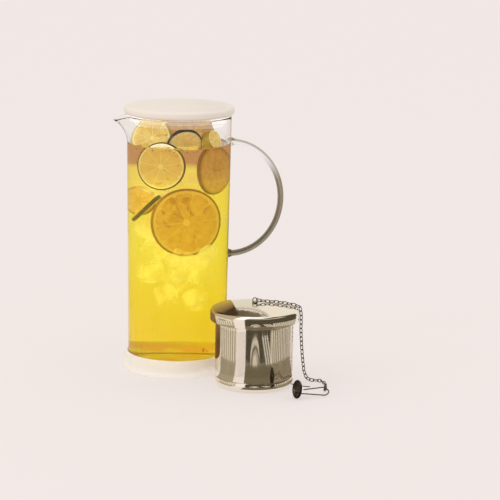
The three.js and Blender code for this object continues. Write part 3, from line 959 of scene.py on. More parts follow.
print("slices bend, and are cut level where they float")

# %% [markdown]
# Each slice is placed one by one, after the drink as it stands: the middle of the slice, the way
# it faces, its radius and its thickness. Slices that float are cut off level at the tea's surface,
# because seen through the side of the jug their lower halves don't show.

# %% Slices
FLOAT_DEPTH = 1.4


def citrus_slice(name, parts, centre, normal, radius, thickness, wedges=9, spin=0, curl=0,
                 afloat=False):
    """A slice in millimetres. curl bends it round its own Y axis by so many degrees in all."""
    spokes = wedges * WEDGE_STEPS
    places = []
    for side in (1, -1):
        spots = [Vector((0, 0, thickness / 2 * MIDDLE_THICKNESS))]
        for ring in range(len(RINGS)):
            spots += [slice_spot(radius, thickness, wedges, ring, spoke) for spoke in range(spokes)]
        places += [Vector((spot.x, spot.y, side * spot.z)) for spot in spots]
    faces, looks = zip(*slice_faces(spokes))
    turn = Vector(normal).normalized().to_track_quat("Z", "Y").to_matrix()
    turn = turn @ Matrix.Rotation(math.radians(spin), 3, "Z")
    placed = [Vector(centre) + turn @ bend(place, radius, math.radians(curl)) for place in places]
    piece = mesh_object(name, placed, faces, 50)
    piece.data.polygons.foreach_set("material_index", looks)
    if afloat:
        cut_level(piece, TEA_SURFACE - FLOAT_DEPTH)
    return dress(piece, "jug", parts, "glass")


citrus_slice("lime_slice_upper", lime, (-15, -28.3, 194), (-0.25, -0.97, 0.10), 21.5, 3.2, 9, 12)
citrus_slice("orange_slice_front", orange, (6.5, -26.5, 142.5), (0.20, -0.97, 0.05), 31, 4.0, 10, 5)
citrus_slice("orange_slice_side", amber, (27, -7, 188), (0.86, -0.48, 0.08), 22.5, 3.6)
citrus_slice("lime_slice_edge", floating_lime, (-26.3, -11, 152.5), (-0.69, 0.18, 0.70), 17, 3.6)
citrus_slice("orange_slice_back", amber, (-29, 4, 157), (-0.4, -0.85, 0.3), 13.5, 3, 8, 30)
citrus_slice("lime_slice_top", floating_lime, (5, -20, 213), (0.18, -0.84, -0.44), 16, 4.4, 9, 8, 0, True)
citrus_slice("lemon_slice_top", lemon, (-24, -14, 217), (-0.30, -0.90, 0.28), 19, 3.2, 9, 50, 40, True)
citrus_slice("golden_slice_top", golden, (10, 2, 219), (0.30, -0.76, 0.56), 24, 3.6, 10, 20, 14, True)
citrus_slice("lemon_slice_back", lemon, (-10, 16, 219), (-0.2, -0.9, 0.35), 19, 3.2, 9, 25, 0, True)
citrus_slice("lemon_piece", lemon, (29, -17, 216), (0.75, -0.55, 0.35), 9, 9, 5, 10, 0, True)

# %% [markdown]
# ## Pulp and bubbles
#
# Tiny bits of pulp and air bubbles hang along the glass and under the surface. They are small balls
# in one mesh, thickest at the surface and in one little cluster low on the right.

# %% Pulp and bubbles
SPECKS = [
    (22, (34, 42), (TEA_SURFACE - 1.8, TEA_SURFACE - 4.5), (0.3, 0.8)),
    (26, (36, 41), (20, 200), (0.25, 0.6)),
]
SPECKS_IN_CLUSTER = 9
CLUSTER = (25, -31.5, 22)
CLUSTER_SPREAD = 2.6
FRONT = (math.radians(200), math.radians(340))


def speck_places():
    """Places in millimetres just inside the tea, and the size of each ball."""
    for count, reaches, heights, sizes in SPECKS:
        for _ in range(count):
            angle, reach = draw.uniform(*FRONT), draw.uniform(*reaches)
            spot = (reach * math.cos(angle), reach * math.sin(angle), draw.uniform(*heights))
            yield spot, draw.uniform(*sizes)
    for _ in range(SPECKS_IN_CLUSTER):
        spot = [middle + draw.uniform(-CLUSTER_SPREAD, CLUSTER_SPREAD) for middle in CLUSTER]
        yield spot, draw.uniform(0.4, 0.8)


work = bmesh.new()
for spot, size in speck_places():
    move = Matrix.Translation(Vector(spot) * MM)
    bmesh.ops.create_icosphere(work, subdivisions=2, radius=size * MM, matrix=move)
specks = finished("pulp_and_bubbles", work)
pulp = plain("pulp", (0.80, 0.50, 0.12), 0.2, Transmission_Weight=0.6, IOR=1.2)
add_unevenness(pulp, 900.0, 0.3, 0.0003)
dress(specks, "jug", [pulp], "glass", shadow=False)
print("specks, faces:", len(specks.data.polygons))

# %% [markdown]
# ## Ice
#
# Ice in tea is pale and soft-edged: it is nearly as clear as the drink, so it mostly shows where its
# faces bend the light and where air is frozen into its heart. Each cube is a subdivided box whose
# corners are melted round, with pale clouds in its heart that thin out to nothing at its rim. The
# clouds glow: the light that the faces bend is painted light here, and the white of the frozen air
# is the ice's own.

# %% Ice
ICE_CUBES = [
    ((-19, -20, 116), 22, (20, 35, 10)), ((2, -24, 108), 24, (50, 10, 35)),
    ((24, -17, 112), 21, (15, 60, 25)), ((-23, -16, 95), 22, (70, 20, 50)),
    ((-1, -27, 88), 21, (35, 45, 5)), ((22, -20, 90), 23, (10, 25, 60)),
    ((-10, -20, 72), 21, (25, 70, 15)), ((15, -14, 68), 20, (60, 15, 40)),
    ((-27, -12, 178), 21, (25, 15, 65)), ((10, -14, 176), 20, (40, 30, 20)),
    ((-20, 2, 130), 22, (10, 25, 40)), ((28, 2, 142), 20, (60, 50, 15)),
    ((-10, 8, 160), 22, (30, 70, 45)), ((8, 16, 100), 24, (45, 20, 70)),
]
# painted light: the glow of the pale clouds
ICE_PAINTED_GLOW = 0.28
ICE_COLOURS = ((0.98, 0.88, 0.36), (1.0, 1.0, 0.92))
ICE_CLOUD_SCALE = 46.0
ICE_PATCHES = (0.38, 0.66)
ICE_RIM = (0.95, 0.10)
ICE_CUTS = 8
ICE_MELT = 0.36
ICE_WOBBLE = 0.03
ICE_DENSITY = 0.68


def ice_finish():
    made = plain("ice", (1.0, 0.97, 0.75), 0.9, Specular_IOR_Level=0.0, Emission_Strength=ICE_PAINTED_GLOW)
    tree = made.node_tree
    cloud = noise(tree, place_in(tree), ICE_CLOUD_SCALE, 1.0)
    colour = mix(tree, cloud, *ICE_COLOURS)
    patches = soft_step(tree, cloud, *ICE_PATCHES, ICE_DENSITY)
    grazing = node(tree, "LayerWeight", {"Blend": 0.5}).outputs["Facing"]
    heart = soft_step(tree, grazing, *ICE_RIM)
    paint(made, {"Alpha": maths(tree, "MULTIPLY", patches, heart),
                 "Base Color": colour, "Emission Color": colour})
    return made


def ice_cube(name, centre, size, turns, finish):
    work = bmesh.new()
    bmesh.ops.create_cube(work, size=size * MM)
    bmesh.ops.subdivide_edges(work, edges=work.edges, cuts=ICE_CUTS, use_grid_fill=True)
    for corner in work.verts:
        share = corner.co / (size * MM / 2)
        melt = 1 - ICE_MELT * max(0, share.length - 1.0)
        corner.co *= melt * (1 + ICE_WOBBLE * draw.uniform(-1, 1))
    place = Matrix.Translation(Vector(centre) * MM)
    for turn, axis in zip(reversed(turns), "ZYX"):
        place = place @ Matrix.Rotation(math.radians(turn), 4, axis)
    work.transform(place)
    piece = finished(name, work)
    smooth = piece.modifiers.new("melted", "SUBSURF")
    smooth.levels = smooth.render_levels = 1
    return dress(piece, "jug", [finish], "glass", shadow=False)


ice = ice_finish()
for number, cube in enumerate(ICE_CUBES, 1):
    ice_cube(f"ice_cube_{number:02d}", *cube, ice)
print("ice cubes:", len(ICE_CUBES))

# %% [markdown]
# ## Boot
#
# The jug stands in a soft cup, milky clear, that keeps the glass off the table. It is one turned
# outline: a flat base with a small edge, an outer wall that leans in to its lip, and an inside
# that follows the heel of the jug with a hair of room.

# %% Boot
SEAT_GAP = 0.3
BOOT_FLOOR = 3.2
BOOT_HEIGHT = 16.5
BOOT_RADIUS = 49.8
BOOT_MOUTH_WALL = 2.6
BOOT_EDGE = 1.4


def boot_outline():
    lip = BOOT_MOUTH_WALL / 2
    inner_mouth = wall_radius(BOOT_HEIGHT) + SEAT_GAP
    heel = HEEL + SEAT_GAP
    outline = [(0, 0)]
    outline += arc((BOOT_RADIUS - BOOT_EDGE, BOOT_EDGE), BOOT_EDGE, -90, 0)
    outline += arc((inner_mouth + lip, BOOT_HEIGHT - lip), lip, 0, 180, 10)
    outline += arc((FOOT_RADIUS + SEAT_GAP - heel, BOOT_FLOOR + heel), heel, 0, -90)
    return outline + [(0, BOOT_FLOOR)]


# The glow of a milky finish is painted light: light that comes through the cloudy plastic.
def milky(name, colour, clear, roughness, bend_of_light, glow):
    made = plain(name, colour, roughness, Transmission_Weight=clear, IOR=bend_of_light,
                 Emission_Color=colour, Emission_Strength=glow)
    add_handling(made, roughness - 0.06, roughness + 0.08, 90.0)
    add_unevenness(made, 300.0, 0.08, 0.0003)
    return made


boot = turned("boot", boot_outline())
milky_boot = milky("milky boot", (0.94, 0.895, 0.82), 0.46, 0.34, 1.41, 0.08)
dress(boot, "jug", [milky_boot], "boot_plastic", "base_boot")
print("boot height, mm:", round(boot.dimensions.z / MM, 1))

# %% [markdown]
# ## Jug lid
#
# The lid is a white disc with a fully rounded edge, hollow underneath, on a clear ring and a plug
# that reaches into the mouth. The disc is moulded, so it has no sharp edge anywhere. The clear
# ring has a thin flange that lies on the rim of the glass.

# %% Jug lid
LID_RADIUS = 50.5
LID_THICKNESS = 7.4
LID_CROWN = 0.5
LID_EDGE = 3.0
LID_PLATE = 2.6
LID_STEP_IN, LID_STEP_UP = 0.6, 0.4
SEAL_FLANGE = 0.8
SEAL_WALL = 1.7
SEAL_DEPTH = 4.2
SEAL_CHAMFER = 0.2
PLUG_WALL = 2.0
SEAL_TOP = RIM_HEIGHT + SEAT_GAP + SEAL_FLANGE
SEAL_UNDER_FLANGE = SEAL_TOP - SEAL_FLANGE
SEAL_LOW = SEAL_UNDER_FLANGE - SEAL_DEPTH
LID_UNDERSIDE = SEAL_TOP + SEAT_GAP
MOUTH_BORE = MOUTH_RADIUS - GLASS_WALL
SEAL_BORE = MOUTH_BORE - SEAT_GAP - SEAL_WALL


def lid_outline():
    top = LID_UNDERSIDE + LID_THICKNESS
    inner = MOUTH_BORE - SEAL_WALL - PLUG_WALL - SEAT_GAP
    rim = LID_RADIUS - LID_EDGE
    outline = [(0, top + LID_CROWN), (inner * 0.5, top + LID_CROWN * 0.85), (inner, top + LID_CROWN / 2)]
    outline += arc((rim, top - LID_EDGE), LID_EDGE, 90, 0, 10)
    outline += arc((rim, LID_UNDERSIDE + LID_EDGE), LID_EDGE, 0, -90, 10)
    outline += [(inner, LID_UNDERSIDE), (inner - LID_STEP_IN, LID_UNDERSIDE + LID_STEP_UP)]
    return outline + [(inner - LID_PLATE, top - LID_PLATE), (0, top + LID_CROWN - LID_PLATE)]


def seal_outline():
    outer = SEAL_BORE + SEAL_WALL
    flange = MOUTH_RADIUS - SEAL_CHAMFER
    return [
        (SEAL_BORE, SEAL_LOW), (SEAL_BORE + SEAL_WALL / 2, SEAL_LOW),
        (outer - SEAL_CHAMFER, SEAL_LOW + SEAL_WALL * 0.35), (outer, SEAL_LOW + SEAL_WALL * 0.7),
        (outer, SEAL_UNDER_FLANGE), (flange, SEAL_UNDER_FLANGE),
        (MOUTH_RADIUS, SEAL_TOP - SEAL_FLANGE / 2), (flange, SEAL_TOP), (SEAL_BORE, SEAL_TOP),
    ]


def clear_soft(name):
    return milky(name, (1.0, 0.995, 0.985), 0.98, 0.10, 1.01, 0.05)


lid_white = plain("lid white", (0.80, 0.72, 0.636), 0.5, Specular_IOR_Level=0.25)
add_handling(lid_white, 0.42, 0.58, 70.0)
lid = turned("jug_lid", lid_outline(), 200)
dress(lid, "jug_lid", [lid_white], "lid_plastic", "lid_disc")
seal = turned("clear_ring", seal_outline(), 200, closed=True)
dress(seal, "sealing_ring", [clear_soft("clear soft ring")], "seal_silicone", "lid_seal", shadow=False)
print("underside of the lid, mm:", round(LID_UNDERSIDE, 1))

# %% [markdown]
# The plug is a ring with a lip that holds the seal from below. Over the spout a window is cut out
# of its lower edge: turned to the spout it lets the tea out, turned away it holds the ice back. A
# wedge that is taken away from the ring cuts the window as a saw would.

# %% Plug with its pouring window
PLUG_LIP = 3.0
PLUG_LIP_EDGE = [(0.3, 0.6), (0, 0.15), (0.2, 0)]
PLUG_INSET = 0.9
POUR_DEGREES = 52
POUR_HEIGHT = 2.8
CUTTER_REACH = 60
CUTTER_DROP = 2
CUTTER_STEPS = 25
PLUG_LIP_TOP = SEAL_LOW - SEAT_GAP
PLUG_LOW = PLUG_LIP_TOP - PLUG_LIP


def plug_outline():
    outer = SEAL_BORE - SEAT_GAP
    inner = outer - PLUG_WALL
    top = LID_UNDERSIDE - SEAT_GAP
    lip = MOUTH_BORE - PLUG_INSET
    outline = [(inner, PLUG_LOW), (lip - PLUG_LIP / 2, PLUG_LOW)]
    outline += [(lip - inward, PLUG_LIP_TOP - down) for inward, down in PLUG_LIP_EDGE]
    return outline + [(outer, PLUG_LIP_TOP), (outer, top), (inner, top)]


def cut_window(piece):
    half = math.radians(POUR_DEGREES / 2)
    angles = np.linspace(math.pi - half, math.pi + half, CUTTER_STEPS)
    corners = []
    for height in (PLUG_LOW - CUTTER_DROP, PLUG_LOW + POUR_HEIGHT):
        corners += [(0, 0, height)]
        corners += [(CUTTER_REACH * math.cos(a), CUTTER_REACH * math.sin(a), height) for a in angles]
    count = len(angles) + 1
    faces = [tuple(range(count)), tuple(range(count, 2 * count))]
    faces += [(i, (i + 1) % count, count + (i + 1) % count, count + i) for i in range(count)]
    cutter = mesh_object("window_cutter", corners, faces)
    cut = piece.modifiers.new("window", "BOOLEAN")
    cut.operation = "DIFFERENCE"
    cut.solver = "EXACT"
    cut.object = cutter
    evaluated = piece.evaluated_get(bpy.context.evaluated_depsgraph_get())
    piece.data = bpy.data.meshes.new_from_object(evaluated)
    piece.modifiers.clear()
    piece.data.set_sharp_from_angle(angle=math.radians(35))
    bpy.data.objects.remove(cutter)


plug = turned("lid_plug_ring", plug_outline(), closed=True)
cut_window(plug)
dress(plug, "jug_lid", [clear_soft("clear plug")], "plug_plastic", "lid_plug", shadow=False)
print("plug faces:", len(plug.data.polygons))

# %% [markdown]
# ## Steel
#
# The infuser is pressed from thin stainless sheet and polished. A mirror-like metal takes nearly
# all its look from what stands round it, so its own colour is one warm grey and the rest is in the
# polish: soft patches from handling, and fine rings left by the polishing wheel, which runs round
# the piece. Chain and hook wire is drawn and tumbled, not polished, so it is rougher; its colour is
# painted darker than steel, as painted shade for the dark that the thin wire mirrors.

# %% Steel finishes
STEEL_COLOUR = (0.95, 0.885, 0.78)
PATCH_SCALE = 110.0
RING_HEIGHT = 0.0002
RING_STRETCH = (0.06, 0.06, 1.0)


def make_steel(name, colour, low, high, rings, strength):
    made = plain(name, colour, low, Metallic=1.0)
    add_handling(made, low, high, PATCH_SCALE)
    add_unevenness(made, rings, strength, RING_HEIGHT, RING_STRETCH)
    return made


polished = make_steel("polished steel", STEEL_COLOUR, 0.06, 0.11, 1500.0, 0.03)
# chain and hook wire painted darker than steel: painted shade
shaded_wire_steel = make_steel("shaded wire steel", (0.25, 0.213, 0.157), 0.2, 0.34, 900.0, 0.1)
dark_steel = make_steel("dark steel", (0.085, 0.072, 0.055), 0.16, 0.3, 900.0, 0.08)
shaded_hook_steel = make_steel("shaded hook steel", (0.38, 0.335, 0.255), 0.12, 0.22, 900.0, 0.08)
print("steels:", [made.name for made in (polished, shaded_wire_steel, dark_steel, shaded_hook_steel)])

# %% [markdown]
# ## Perforated wall
#
# The wall is pierced with dozens of rows of tiny holes. Holes this small would need a million
# faces, and they never show one by one in a picture of the whole, so they are made in the
# material: a grid of dots is laid out round the wall, every second row is moved half a step, and
# inside a dot the alpha is zero, so one sees into the dark capsule as through the real sheet.

# %% Perforation
CAPSULE_RADIUS = 35.4
CAPSULE_HEIGHT = 60.2
STEEL_WALL = 0.9
CAPSULE_BEAD = 1.5
FLOOR_CUP = 9.0
FLOOR_CORNER = 4.5
FLOOR_LAP = 4.0
CUP_BREAK = 0.3
WALL_BREAK = 0.25
HOLES_ROUND = 170
HOLE_SHARE = 0.22
PLAIN_EDGE = 2.2
HOLES = {
    "Axis": (INFUSER_AXIS[0] * MM, INFUSER_AXIS[1] * MM, 0.0), "Radius": CAPSULE_RADIUS * MM,
    "Holes": float(HOLES_ROUND), "Hole Share": HOLE_SHARE,
    "Low": (FLOOR_CUP + FLOOR_LAP + PLAIN_EDGE) * MM,
    "High": (CAPSULE_HEIGHT - CAPSULE_BEAD - PLAIN_EDGE) * MM,
}


def perforation_group():
    """1 inside a hole and 0 on the sheet, round an upright axis."""
    group, given, result = new_group("perforation", HOLES, "Hole")

    def of(operation, *values):
        return maths(group, operation, *values)

    local = node(group, "VectorMath", {0: place_in(group), 1: given["Axis"]}, operation="SUBTRACT")
    x, y, z = node(group, "SeparateXYZ", {0: local.outputs[0]}).outputs
    pitch = of("DIVIDE", of("MULTIPLY", given["Radius"], math.tau), given["Holes"])
    row = of("DIVIDE", z, of("MULTIPLY", pitch, math.sqrt(0.75)))
    shift = of("MULTIPLY", of("MODULO", of("FLOOR", row), 2.0), 0.5)
    turn = of("DIVIDE", of("ARCTAN2", y, x), math.tau)
    column = of("ADD", of("MULTIPLY", turn, given["Holes"]), shift)
    across = of("SUBTRACT", of("FRACT", column), 0.5)
    upward = of("MULTIPLY", of("SUBTRACT", of("FRACT", row), 0.5), math.sqrt(0.75))
    square = of("ADD", of("MULTIPLY", across, across), of("MULTIPLY", upward, upward))
    inside = of("LESS_THAN", of("SQRT", square), given["Hole Share"])
    above, below = of("GREATER_THAN", z, given["Low"]), of("LESS_THAN", z, given["High"])
    feed(group, result, of("MULTIPLY", of("MULTIPLY", inside, above), below))
    return group


pierced = make_steel("pierced steel", STEEL_COLOUR, 0.06, 0.10, 1500.0, 0.03)
holes = node(pierced.node_tree, "Group", HOLES, node_tree=perforation_group())
paint(pierced, {"Alpha": maths(pierced.node_tree, "SUBTRACT", 1.0, holes.outputs["Hole"])})
print("hole pitch, mm:", round(math.tau * CAPSULE_RADIUS / HOLES_ROUND, 2))

# %% [markdown]
# The capsule is two pieces of sheet: a pressed cup for the floor, with a rounded corner and a
# stepped rim, and a rolled wall that stands on the step and ends in a bead. Both are turned
# outlines with the sheet's real thickness, moved to where the infuser stands.

# %% Capsule
def on_infuser(place):
    return (place[0] + INFUSER_AXIS[0], place[1] + INFUSER_AXIS[1], place[2])


def floor_outline():
    lap = CAPSULE_RADIUS - STEEL_WALL - SEAT_GAP
    inner = lap - STEEL_WALL
    corner = FLOOR_CORNER - STEEL_WALL
    outline = [(0, 0)]
    outline += arc((CAPSULE_RADIUS - FLOOR_CORNER, FLOOR_CORNER), FLOOR_CORNER, -90, 0)
    outline += [(CAPSULE_RADIUS, FLOOR_CUP - CUP_BREAK), (CAPSULE_RADIUS - CUP_BREAK, FLOOR_CUP)]
    outline += [(lap, FLOOR_CUP), (lap, FLOOR_CUP + FLOOR_LAP), (inner, FLOOR_CUP + FLOOR_LAP)]
    outline += arc((inner - corner, STEEL_WALL + corner), corner, 0, -90)
    return outline + [(0, STEEL_WALL)]


def wall_outline():
    inner = CAPSULE_RADIUS - STEEL_WALL
    low = FLOOR_CUP + SEAT_GAP
    top = CAPSULE_HEIGHT - CAPSULE_BEAD
    outline = [(inner, low), (CAPSULE_RADIUS - WALL_BREAK, low), (CAPSULE_RADIUS, low + WALL_BREAK)]
    outline += [(CAPSULE_RADIUS, top)]
    outline += arc((CAPSULE_RADIUS, top + CAPSULE_BEAD / 2), CAPSULE_BEAD / 2, -90, 90)
    return outline + [(inner, CAPSULE_HEIGHT)]


floor_cup = turned("infuser_floor_cup", floor_outline(), shape=on_infuser, smooth_angle=50)
dress(floor_cup, "capsule", [polished], "polished_steel", "infuser_floor")
capsule_wall = turned("infuser_pierced_wall", wall_outline(), closed=True, shape=on_infuser)
dress(capsule_wall, "capsule", [pierced], "perforated_steel", "infuser_wall")
print("capsule wall, mm:", [round(x / MM, 1) for x in capsule_wall.dimensions])

# %% [markdown]
# ## Infuser lid
#
# The lid is spun from sheet: a low crown, a rounded shoulder and a short side that overhangs the
# wall. A ring closes it below and slips into the capsule.

# %% Infuser lid
CAP_OVERHANG = 4.8
CAP_SIDE = 7.0
CAP_CORNER = 4.0
CAP_CROWN = 4.0
CAP_BREAK = 0.2
SPIGOT_DEPTH = 6.0
CAP_RADIUS = CAPSULE_RADIUS + CAP_OVERHANG
CAP_BOTTOM = CAPSULE_HEIGHT + SEAT_GAP
CAP_SHOULDER = CAP_BOTTOM + CAP_SIDE + CAP_CORNER
CAP_FLAT = CAP_RADIUS - CAP_CORNER
CORNER_END = 84
CROWN_STEPS = 15


def crown(radius):
    share = min(1, radius / CAP_FLAT)
    return CAP_SHOULDER + CAP_CROWN * (1 - share * share)


def cap_outline():
    radii = np.linspace(CAP_FLAT, 0, CROWN_STEPS)[1:]
    corner = (CAP_FLAT, CAP_SHOULDER - CAP_CORNER)
    outline = [(CAP_RADIUS - STEEL_WALL, CAP_BOTTOM), (CAP_RADIUS - CAP_BREAK, CAP_BOTTOM + CAP_BREAK / 2)]
    outline += [(CAP_RADIUS, CAP_BOTTOM + STEEL_WALL / 2)]
    outline += arc(corner, CAP_CORNER, 0, CORNER_END, 10)
    outline += [(r, crown(r)) for r in radii]
    outline += [(r, crown(r) - STEEL_WALL) for r in radii[::-1]]
    return outline + arc(corner, CAP_CORNER - STEEL_WALL, CORNER_END, 0, 10)


def spigot_outline():
    outer = CAP_RADIUS - STEEL_WALL - SEAT_GAP
    spigot = CAPSULE_RADIUS - STEEL_WALL - SEAT_GAP
    low = CAP_BOTTOM - SPIGOT_DEPTH
    top = CAP_BOTTOM + STEEL_WALL
    outline = [(spigot - STEEL_WALL, low), (spigot - CAP_BREAK, low), (spigot, low + CAP_BREAK)]
    outline += [(spigot, CAP_BOTTOM), (outer, CAP_BOTTOM), (outer, top)]
    return outline + [(spigot - STEEL_WALL, top)]


cap = turned("infuser_cap", cap_outline(), shape=on_infuser)
dress(cap, "capsule_lid", [polished], "polished_steel", "infuser_lid")
spigot = turned("cap_spigot", spigot_outline(), closed=True, shape=on_infuser)
dress(spigot, "capsule_lid", [polished], "polished_steel", "lid_spigot")
print("crown height, mm:", round(crown(0), 1))

# %% [markdown]
# A small washer on the crown carries the wire eye that the chain starts from. Both are welded to
# each other, so they are joined into one piece.

# %% Eyelet
EYELET_RING = 2.1
EYELET_WIRE = 0.8
EYELET_FOOT = 2.6
EYELET_FOOT_HEIGHT = 0.8
EYELET_BREAK = 0.3
EYELET_BASE = crown(0) + SEAT_GAP
EYELET_CENTRE = EYELET_BASE + EYELET_FOOT_HEIGHT / 2 + EYELET_RING


def joined(name, pieces):
    """Several pieces as one object."""
    with bpy.context.temp_override(active_object=pieces[0], selected_editable_objects=pieces):
        bpy.ops.object.join()
    pieces[0].name = pieces[0].data.name = name
    return pieces[0]


def circle(centre, radius, across, up, steps=48):
    """Points of a circle round a centre, in the plane of two directions."""
    angles = [math.tau * i / steps for i in range(steps)]
    return [centre + radius * (math.cos(a) * across + math.sin(a) * up) for a in angles]


def eyelet():
    low, top = EYELET_BASE, EYELET_BASE + EYELET_FOOT_HEIGHT
    outline = [(0, low), (EYELET_FOOT, low), (EYELET_FOOT, top - EYELET_BREAK)]
    outline += [(EYELET_FOOT - EYELET_BREAK, top), (0, top)]
    foot = turned("eyelet_foot", outline, 48, shape=on_infuser)
    centre = Vector((*INFUSER_AXIS, EYELET_CENTRE))
    path = circle(centre, EYELET_RING, Vector((1, 0, 0)), Vector((0, 0, 1)))
    ring = swept("eyelet_ring", path, EYELET_WIRE / 2, 12, closed=True)
    return joined("eyelet", [foot, ring])


dress(eyelet(), "capsule_lid", [shaded_wire_steel], "chain_steel", "lid_eyelet")
print("eyelet centre, mm:", round(EYELET_CENTRE, 1))

# %% [markdown]
# ## Chain
#
# Every link is a short piece of wire bent into an oval and closed round its neighbour. The packed
# solids say where each one lies, so a smooth link is laid on each of them: the long direction of
# the solid's corners is the link's length and the thinnest is its flat side. Two links come close
# to the lid and to the hook's ring at the end of their swing, so their wire is drawn a hair thinner.

# %% Chain links
LINK_WIRE = 0.75
WIRE_SHY = 0.08
TIGHT_LINKS = (11, 41)
LINK_BEND = 1.4
LINK_STEPS = 40
CHAIN_BODIES = {"chain_upper": (1, 10), "chain_hanging": (11, 28), "chain_lying": (29, 41)}


def link_frame(solid):
    """Centre, directions and half length of a packed link, in millimetres."""
    spots = np.empty(len(solid.data.vertices) * 3)
    solid.data.vertices.foreach_get("co", spots)
    spots = spots.reshape(-1, 3) / MM
    middle = spots.mean(axis=0)
    directions = np.linalg.eigh(np.cov((spots - middle).T))[1][:, ::-1]
    if np.linalg.det(directions) < 0:
        directions[:, 2] *= -1
    on_axes = (spots - middle) @ directions
    low, high = on_axes.min(axis=0), on_axes.max(axis=0)
    centre = Vector(middle + directions @ ((low + high) / 2))
    return centre, Matrix(directions.tolist()), (high[0] - low[0]) / 2


def chain_link(number, body):
    solid = f"chain_link_{number:02d}"
    wire = LINK_WIRE - WIRE_SHY if number in TIGHT_LINKS else LINK_WIRE
    centre, turn, half_length = link_frame(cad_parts[solid])
    straight = half_length - LINK_WIRE / 2 - LINK_BEND
    path = []
    for i in range(LINK_STEPS):
        angle = math.tau * (i + 0.5) / LINK_STEPS
        x = LINK_BEND * math.cos(angle)
        spot = Vector((x + math.copysign(straight, x), LINK_BEND * math.sin(angle), 0))
        path.append(centre + turn @ spot)
    dip = min(0, min(spot.z for spot in path) - LINK_WIRE / 2)
    path = [spot - Vector((0, 0, dip)) for spot in path]
    piece = swept(f"smooth_{solid}", path, wire / 2, 10, closed=True)
    return dress(piece, body, [shaded_wire_steel], "chain_steel", solid)


for body, (first, last) in CHAIN_BODIES.items():
    for number in range(first, last + 1):
        chain_link(number, body)
print("links laid:", last)

# %% [markdown]
# ## Hook
#
# The hook is a loop of springy wire whose tip comes back to a dark round disc. A shorter wire
# lies beside it as a keeper, both pass through the disc, and a ring on the loop's upper strand
# holds the last link. Springy wire has no corners, so the wires follow smooth curves through a few
# points, which are written as shares of the hook's length and width.

# %% Curves through points
FINE_STEPS = 30


def through(points, steps):
    """Evenly spaced places on a smooth curve through points (centripetal Catmull-Rom)."""
    spots = [Vector(p) for p in points]
    spots = [2 * spots[0] - spots[1]] + spots + [2 * spots[-1] - spots[-2]]
    fine = []
    for a, b, c, d in zip(spots, spots[1:], spots[2:], spots[3:]):
        gaps = [max(1e-6, (q - p).length ** 0.5) for p, q in ((a, b), (b, c), (c, d))]
        start = (b - a) / gaps[0] - (c - a) / (gaps[0] + gaps[1]) + (c - b) / gaps[1]
        end = (c - b) / gaps[1] - (d - b) / (gaps[1] + gaps[2]) + (d - c) / gaps[2]
        start, end = start * gaps[1], end * gaps[1]
        for i in range(FINE_STEPS):
            t = i / FINE_STEPS
            fine.append((2 * t**3 - 3 * t**2 + 1) * b + (t**3 - 2 * t**2 + t) * start
                        + (3 * t**2 - 2 * t**3) * c + (t**3 - t**2) * end)
    fine.append(spots[-2])
    runs = np.concatenate([[0], np.cumsum([(q - p).length for p, q in zip(fine, fine[1:])])])
    even = np.linspace(0, runs[-1], steps + 1)
    columns = [np.interp(even, runs, [p[k] for p in fine]) for k in range(3)]
    return [Vector(p) for p in zip(*columns)]


print("curve steps between two points:", FINE_STEPS)

# %% Hook wires
HOOK_HEADING = math.radians(21)
HOOK_REACH = 31.5
HOOK_WIRE = 1.1
KEEPER_WIRE = 0.9
STRAND_SPREAD = 4.0
STUB_LENGTH = 3.2
DISC_RADIUS = 8.5
DISC_THICKNESS = 4.2
TABLE_GAP = 0.1
DISC_CENTRE = Vector((107, -111, DISC_RADIUS + TABLE_GAP))
LOOP_SHARES = [(0, -1), (0.3, -1), (0.65, -1), (0.88, -0.9), (0.995, 0), (0.88, 0.9), (0.6, 0.62)]
KEEPER_SHARES = [(0, 1), (0.2, 0.9), (0.42, 0.86)]
LOOP_STUB, KEEPER_STUB = -0.8, 1.3
LOOP_STEPS, KEEPER_STEPS = 120, 40
STUB_END = -DISC_THICKNESS / 2 - STUB_LENGTH
WIRE_TIP = 0.55
TIP_LENGTH = 0.03

loop_height = (STRAND_SPREAD + HOOK_WIRE) * math.sqrt(0.5) + TABLE_GAP
hook_drop = math.asin((DISC_CENTRE.z - loop_height) / HOOK_REACH)
along_hook = Vector((math.cos(HOOK_HEADING) * math.cos(hook_drop),
                     math.sin(HOOK_HEADING) * math.cos(hook_drop), -math.sin(hook_drop)))
up_hook = Vector((0, 1, 1))
up_hook = (up_hook - along_hook * up_hook.dot(along_hook)).normalized()


def on_hook(length, height):
    return DISC_CENTRE + along_hook * length + up_hook * height


def wire_radius(thickness):
    """Wire whose two cut ends are rounded."""
    def radius_at(share):
        end = min(1, min(share, 1 - share) / TIP_LENGTH)
        return thickness / 2 * (WIRE_TIP + (1 - WIRE_TIP) * math.sqrt(end * (2 - end)))
    return radius_at


def hook_piece(name, points, steps, thickness, solid):
    path = through(points, steps)
    piece = swept(name, path, wire_radius(thickness), 14)
    dress(piece, "hook", [shaded_hook_steel], "chain_steel", solid)
    return path


def strand(shares):
    return [on_hook(HOOK_REACH * length, STRAND_SPREAD * height) for length, height in shares]


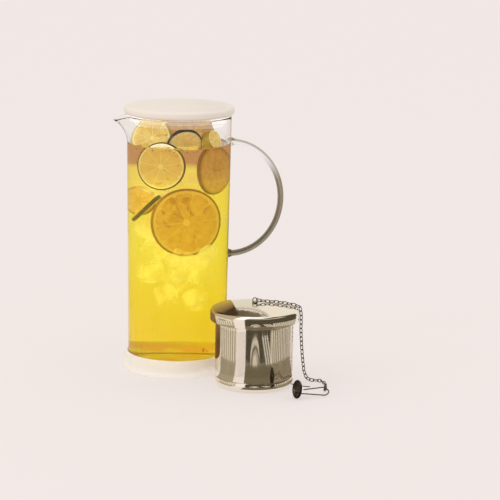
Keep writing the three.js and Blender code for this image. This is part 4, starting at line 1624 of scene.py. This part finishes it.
loop_points = [on_hook(STUB_END, LOOP_STUB * STRAND_SPREAD), *strand(LOOP_SHARES)]
loop_points += [on_hook(DISC_THICKNESS / 2 + STRAND_SPREAD, 0)]
keeper_points = [on_hook(STUB_END, KEEPER_STUB * STRAND_SPREAD), *strand(KEEPER_SHARES)]
loop_path = hook_piece("hook_loop", loop_points, LOOP_STEPS, HOOK_WIRE, "hook_wire")
hook_piece("hook_keeper_wire", keeper_points, KEEPER_STEPS, KEEPER_WIRE, "hook_keeper")
print("wire in the loop, mm:", round(sum((b - a).length for a, b in zip(loop_path, loop_path[1:]))))

# %% [markdown]
# The ring hangs inside the loop at its upper strand, pulled towards the chain. The disc is a
# soft-edged button, turned as an outline like the lids and then laid square on the hook's line.

# %% Ring and disc
HOOK_RING = 2.8
HOOK_RING_WIRE = 0.8
RING_SHARE = 0.66
LINK_SLACK = 0.4
DISC_EDGE = 1.3
DISC_SHY = 0.15
DISC_HOLLOW = 0.93

ring_pull = Vector((0, 2, -1)).normalized()
ring_axis = (along_hook - ring_pull * ring_pull.dot(along_hook)).normalized()
ring_hang = HOOK_RING - HOOK_RING_WIRE / 2 - HOOK_WIRE / 2 - LINK_SLACK / 2
ring_centre = loop_path[round(RING_SHARE * LOOP_STEPS)] + ring_pull * ring_hang
ring_path = circle(ring_centre, HOOK_RING, ring_pull, ring_axis.cross(ring_pull))
ring = swept("hook_ring_wire", ring_path, (HOOK_RING_WIRE - WIRE_SHY) / 2, 12, closed=True)
dress(ring, "hook", [shaded_wire_steel], "chain_steel", "hook_ring")

disc_turn = along_hook.to_track_quat("Z", "Y").to_matrix()
half_disc = DISC_THICKNESS / 2


def on_disc(place):
    return DISC_CENTRE + disc_turn @ Vector(place)


def disc_outline():
    """A soft-edged disc whose two faces dip a little towards the rim."""
    lower = [(0, -half_disc), (DISC_RADIUS * 0.35, -half_disc * DISC_HOLLOW)]
    lower += [(DISC_RADIUS - DISC_EDGE * 2, DISC_EDGE - half_disc)]
    rim = arc((DISC_RADIUS - DISC_SHY - DISC_EDGE, 0), DISC_EDGE, -80, 80, 10)
    return lower + rim + [(radius, -height) for radius, height in reversed(lower)]


disc = turned("hook_stop_disc", disc_outline(), 96, shape=on_disc, smooth_angle=60)
dress(disc, "hook", [dark_steel], "dark_steel", "hook_disc")
print("ring and disc ready, disc, mm:", 2 * DISC_RADIUS)
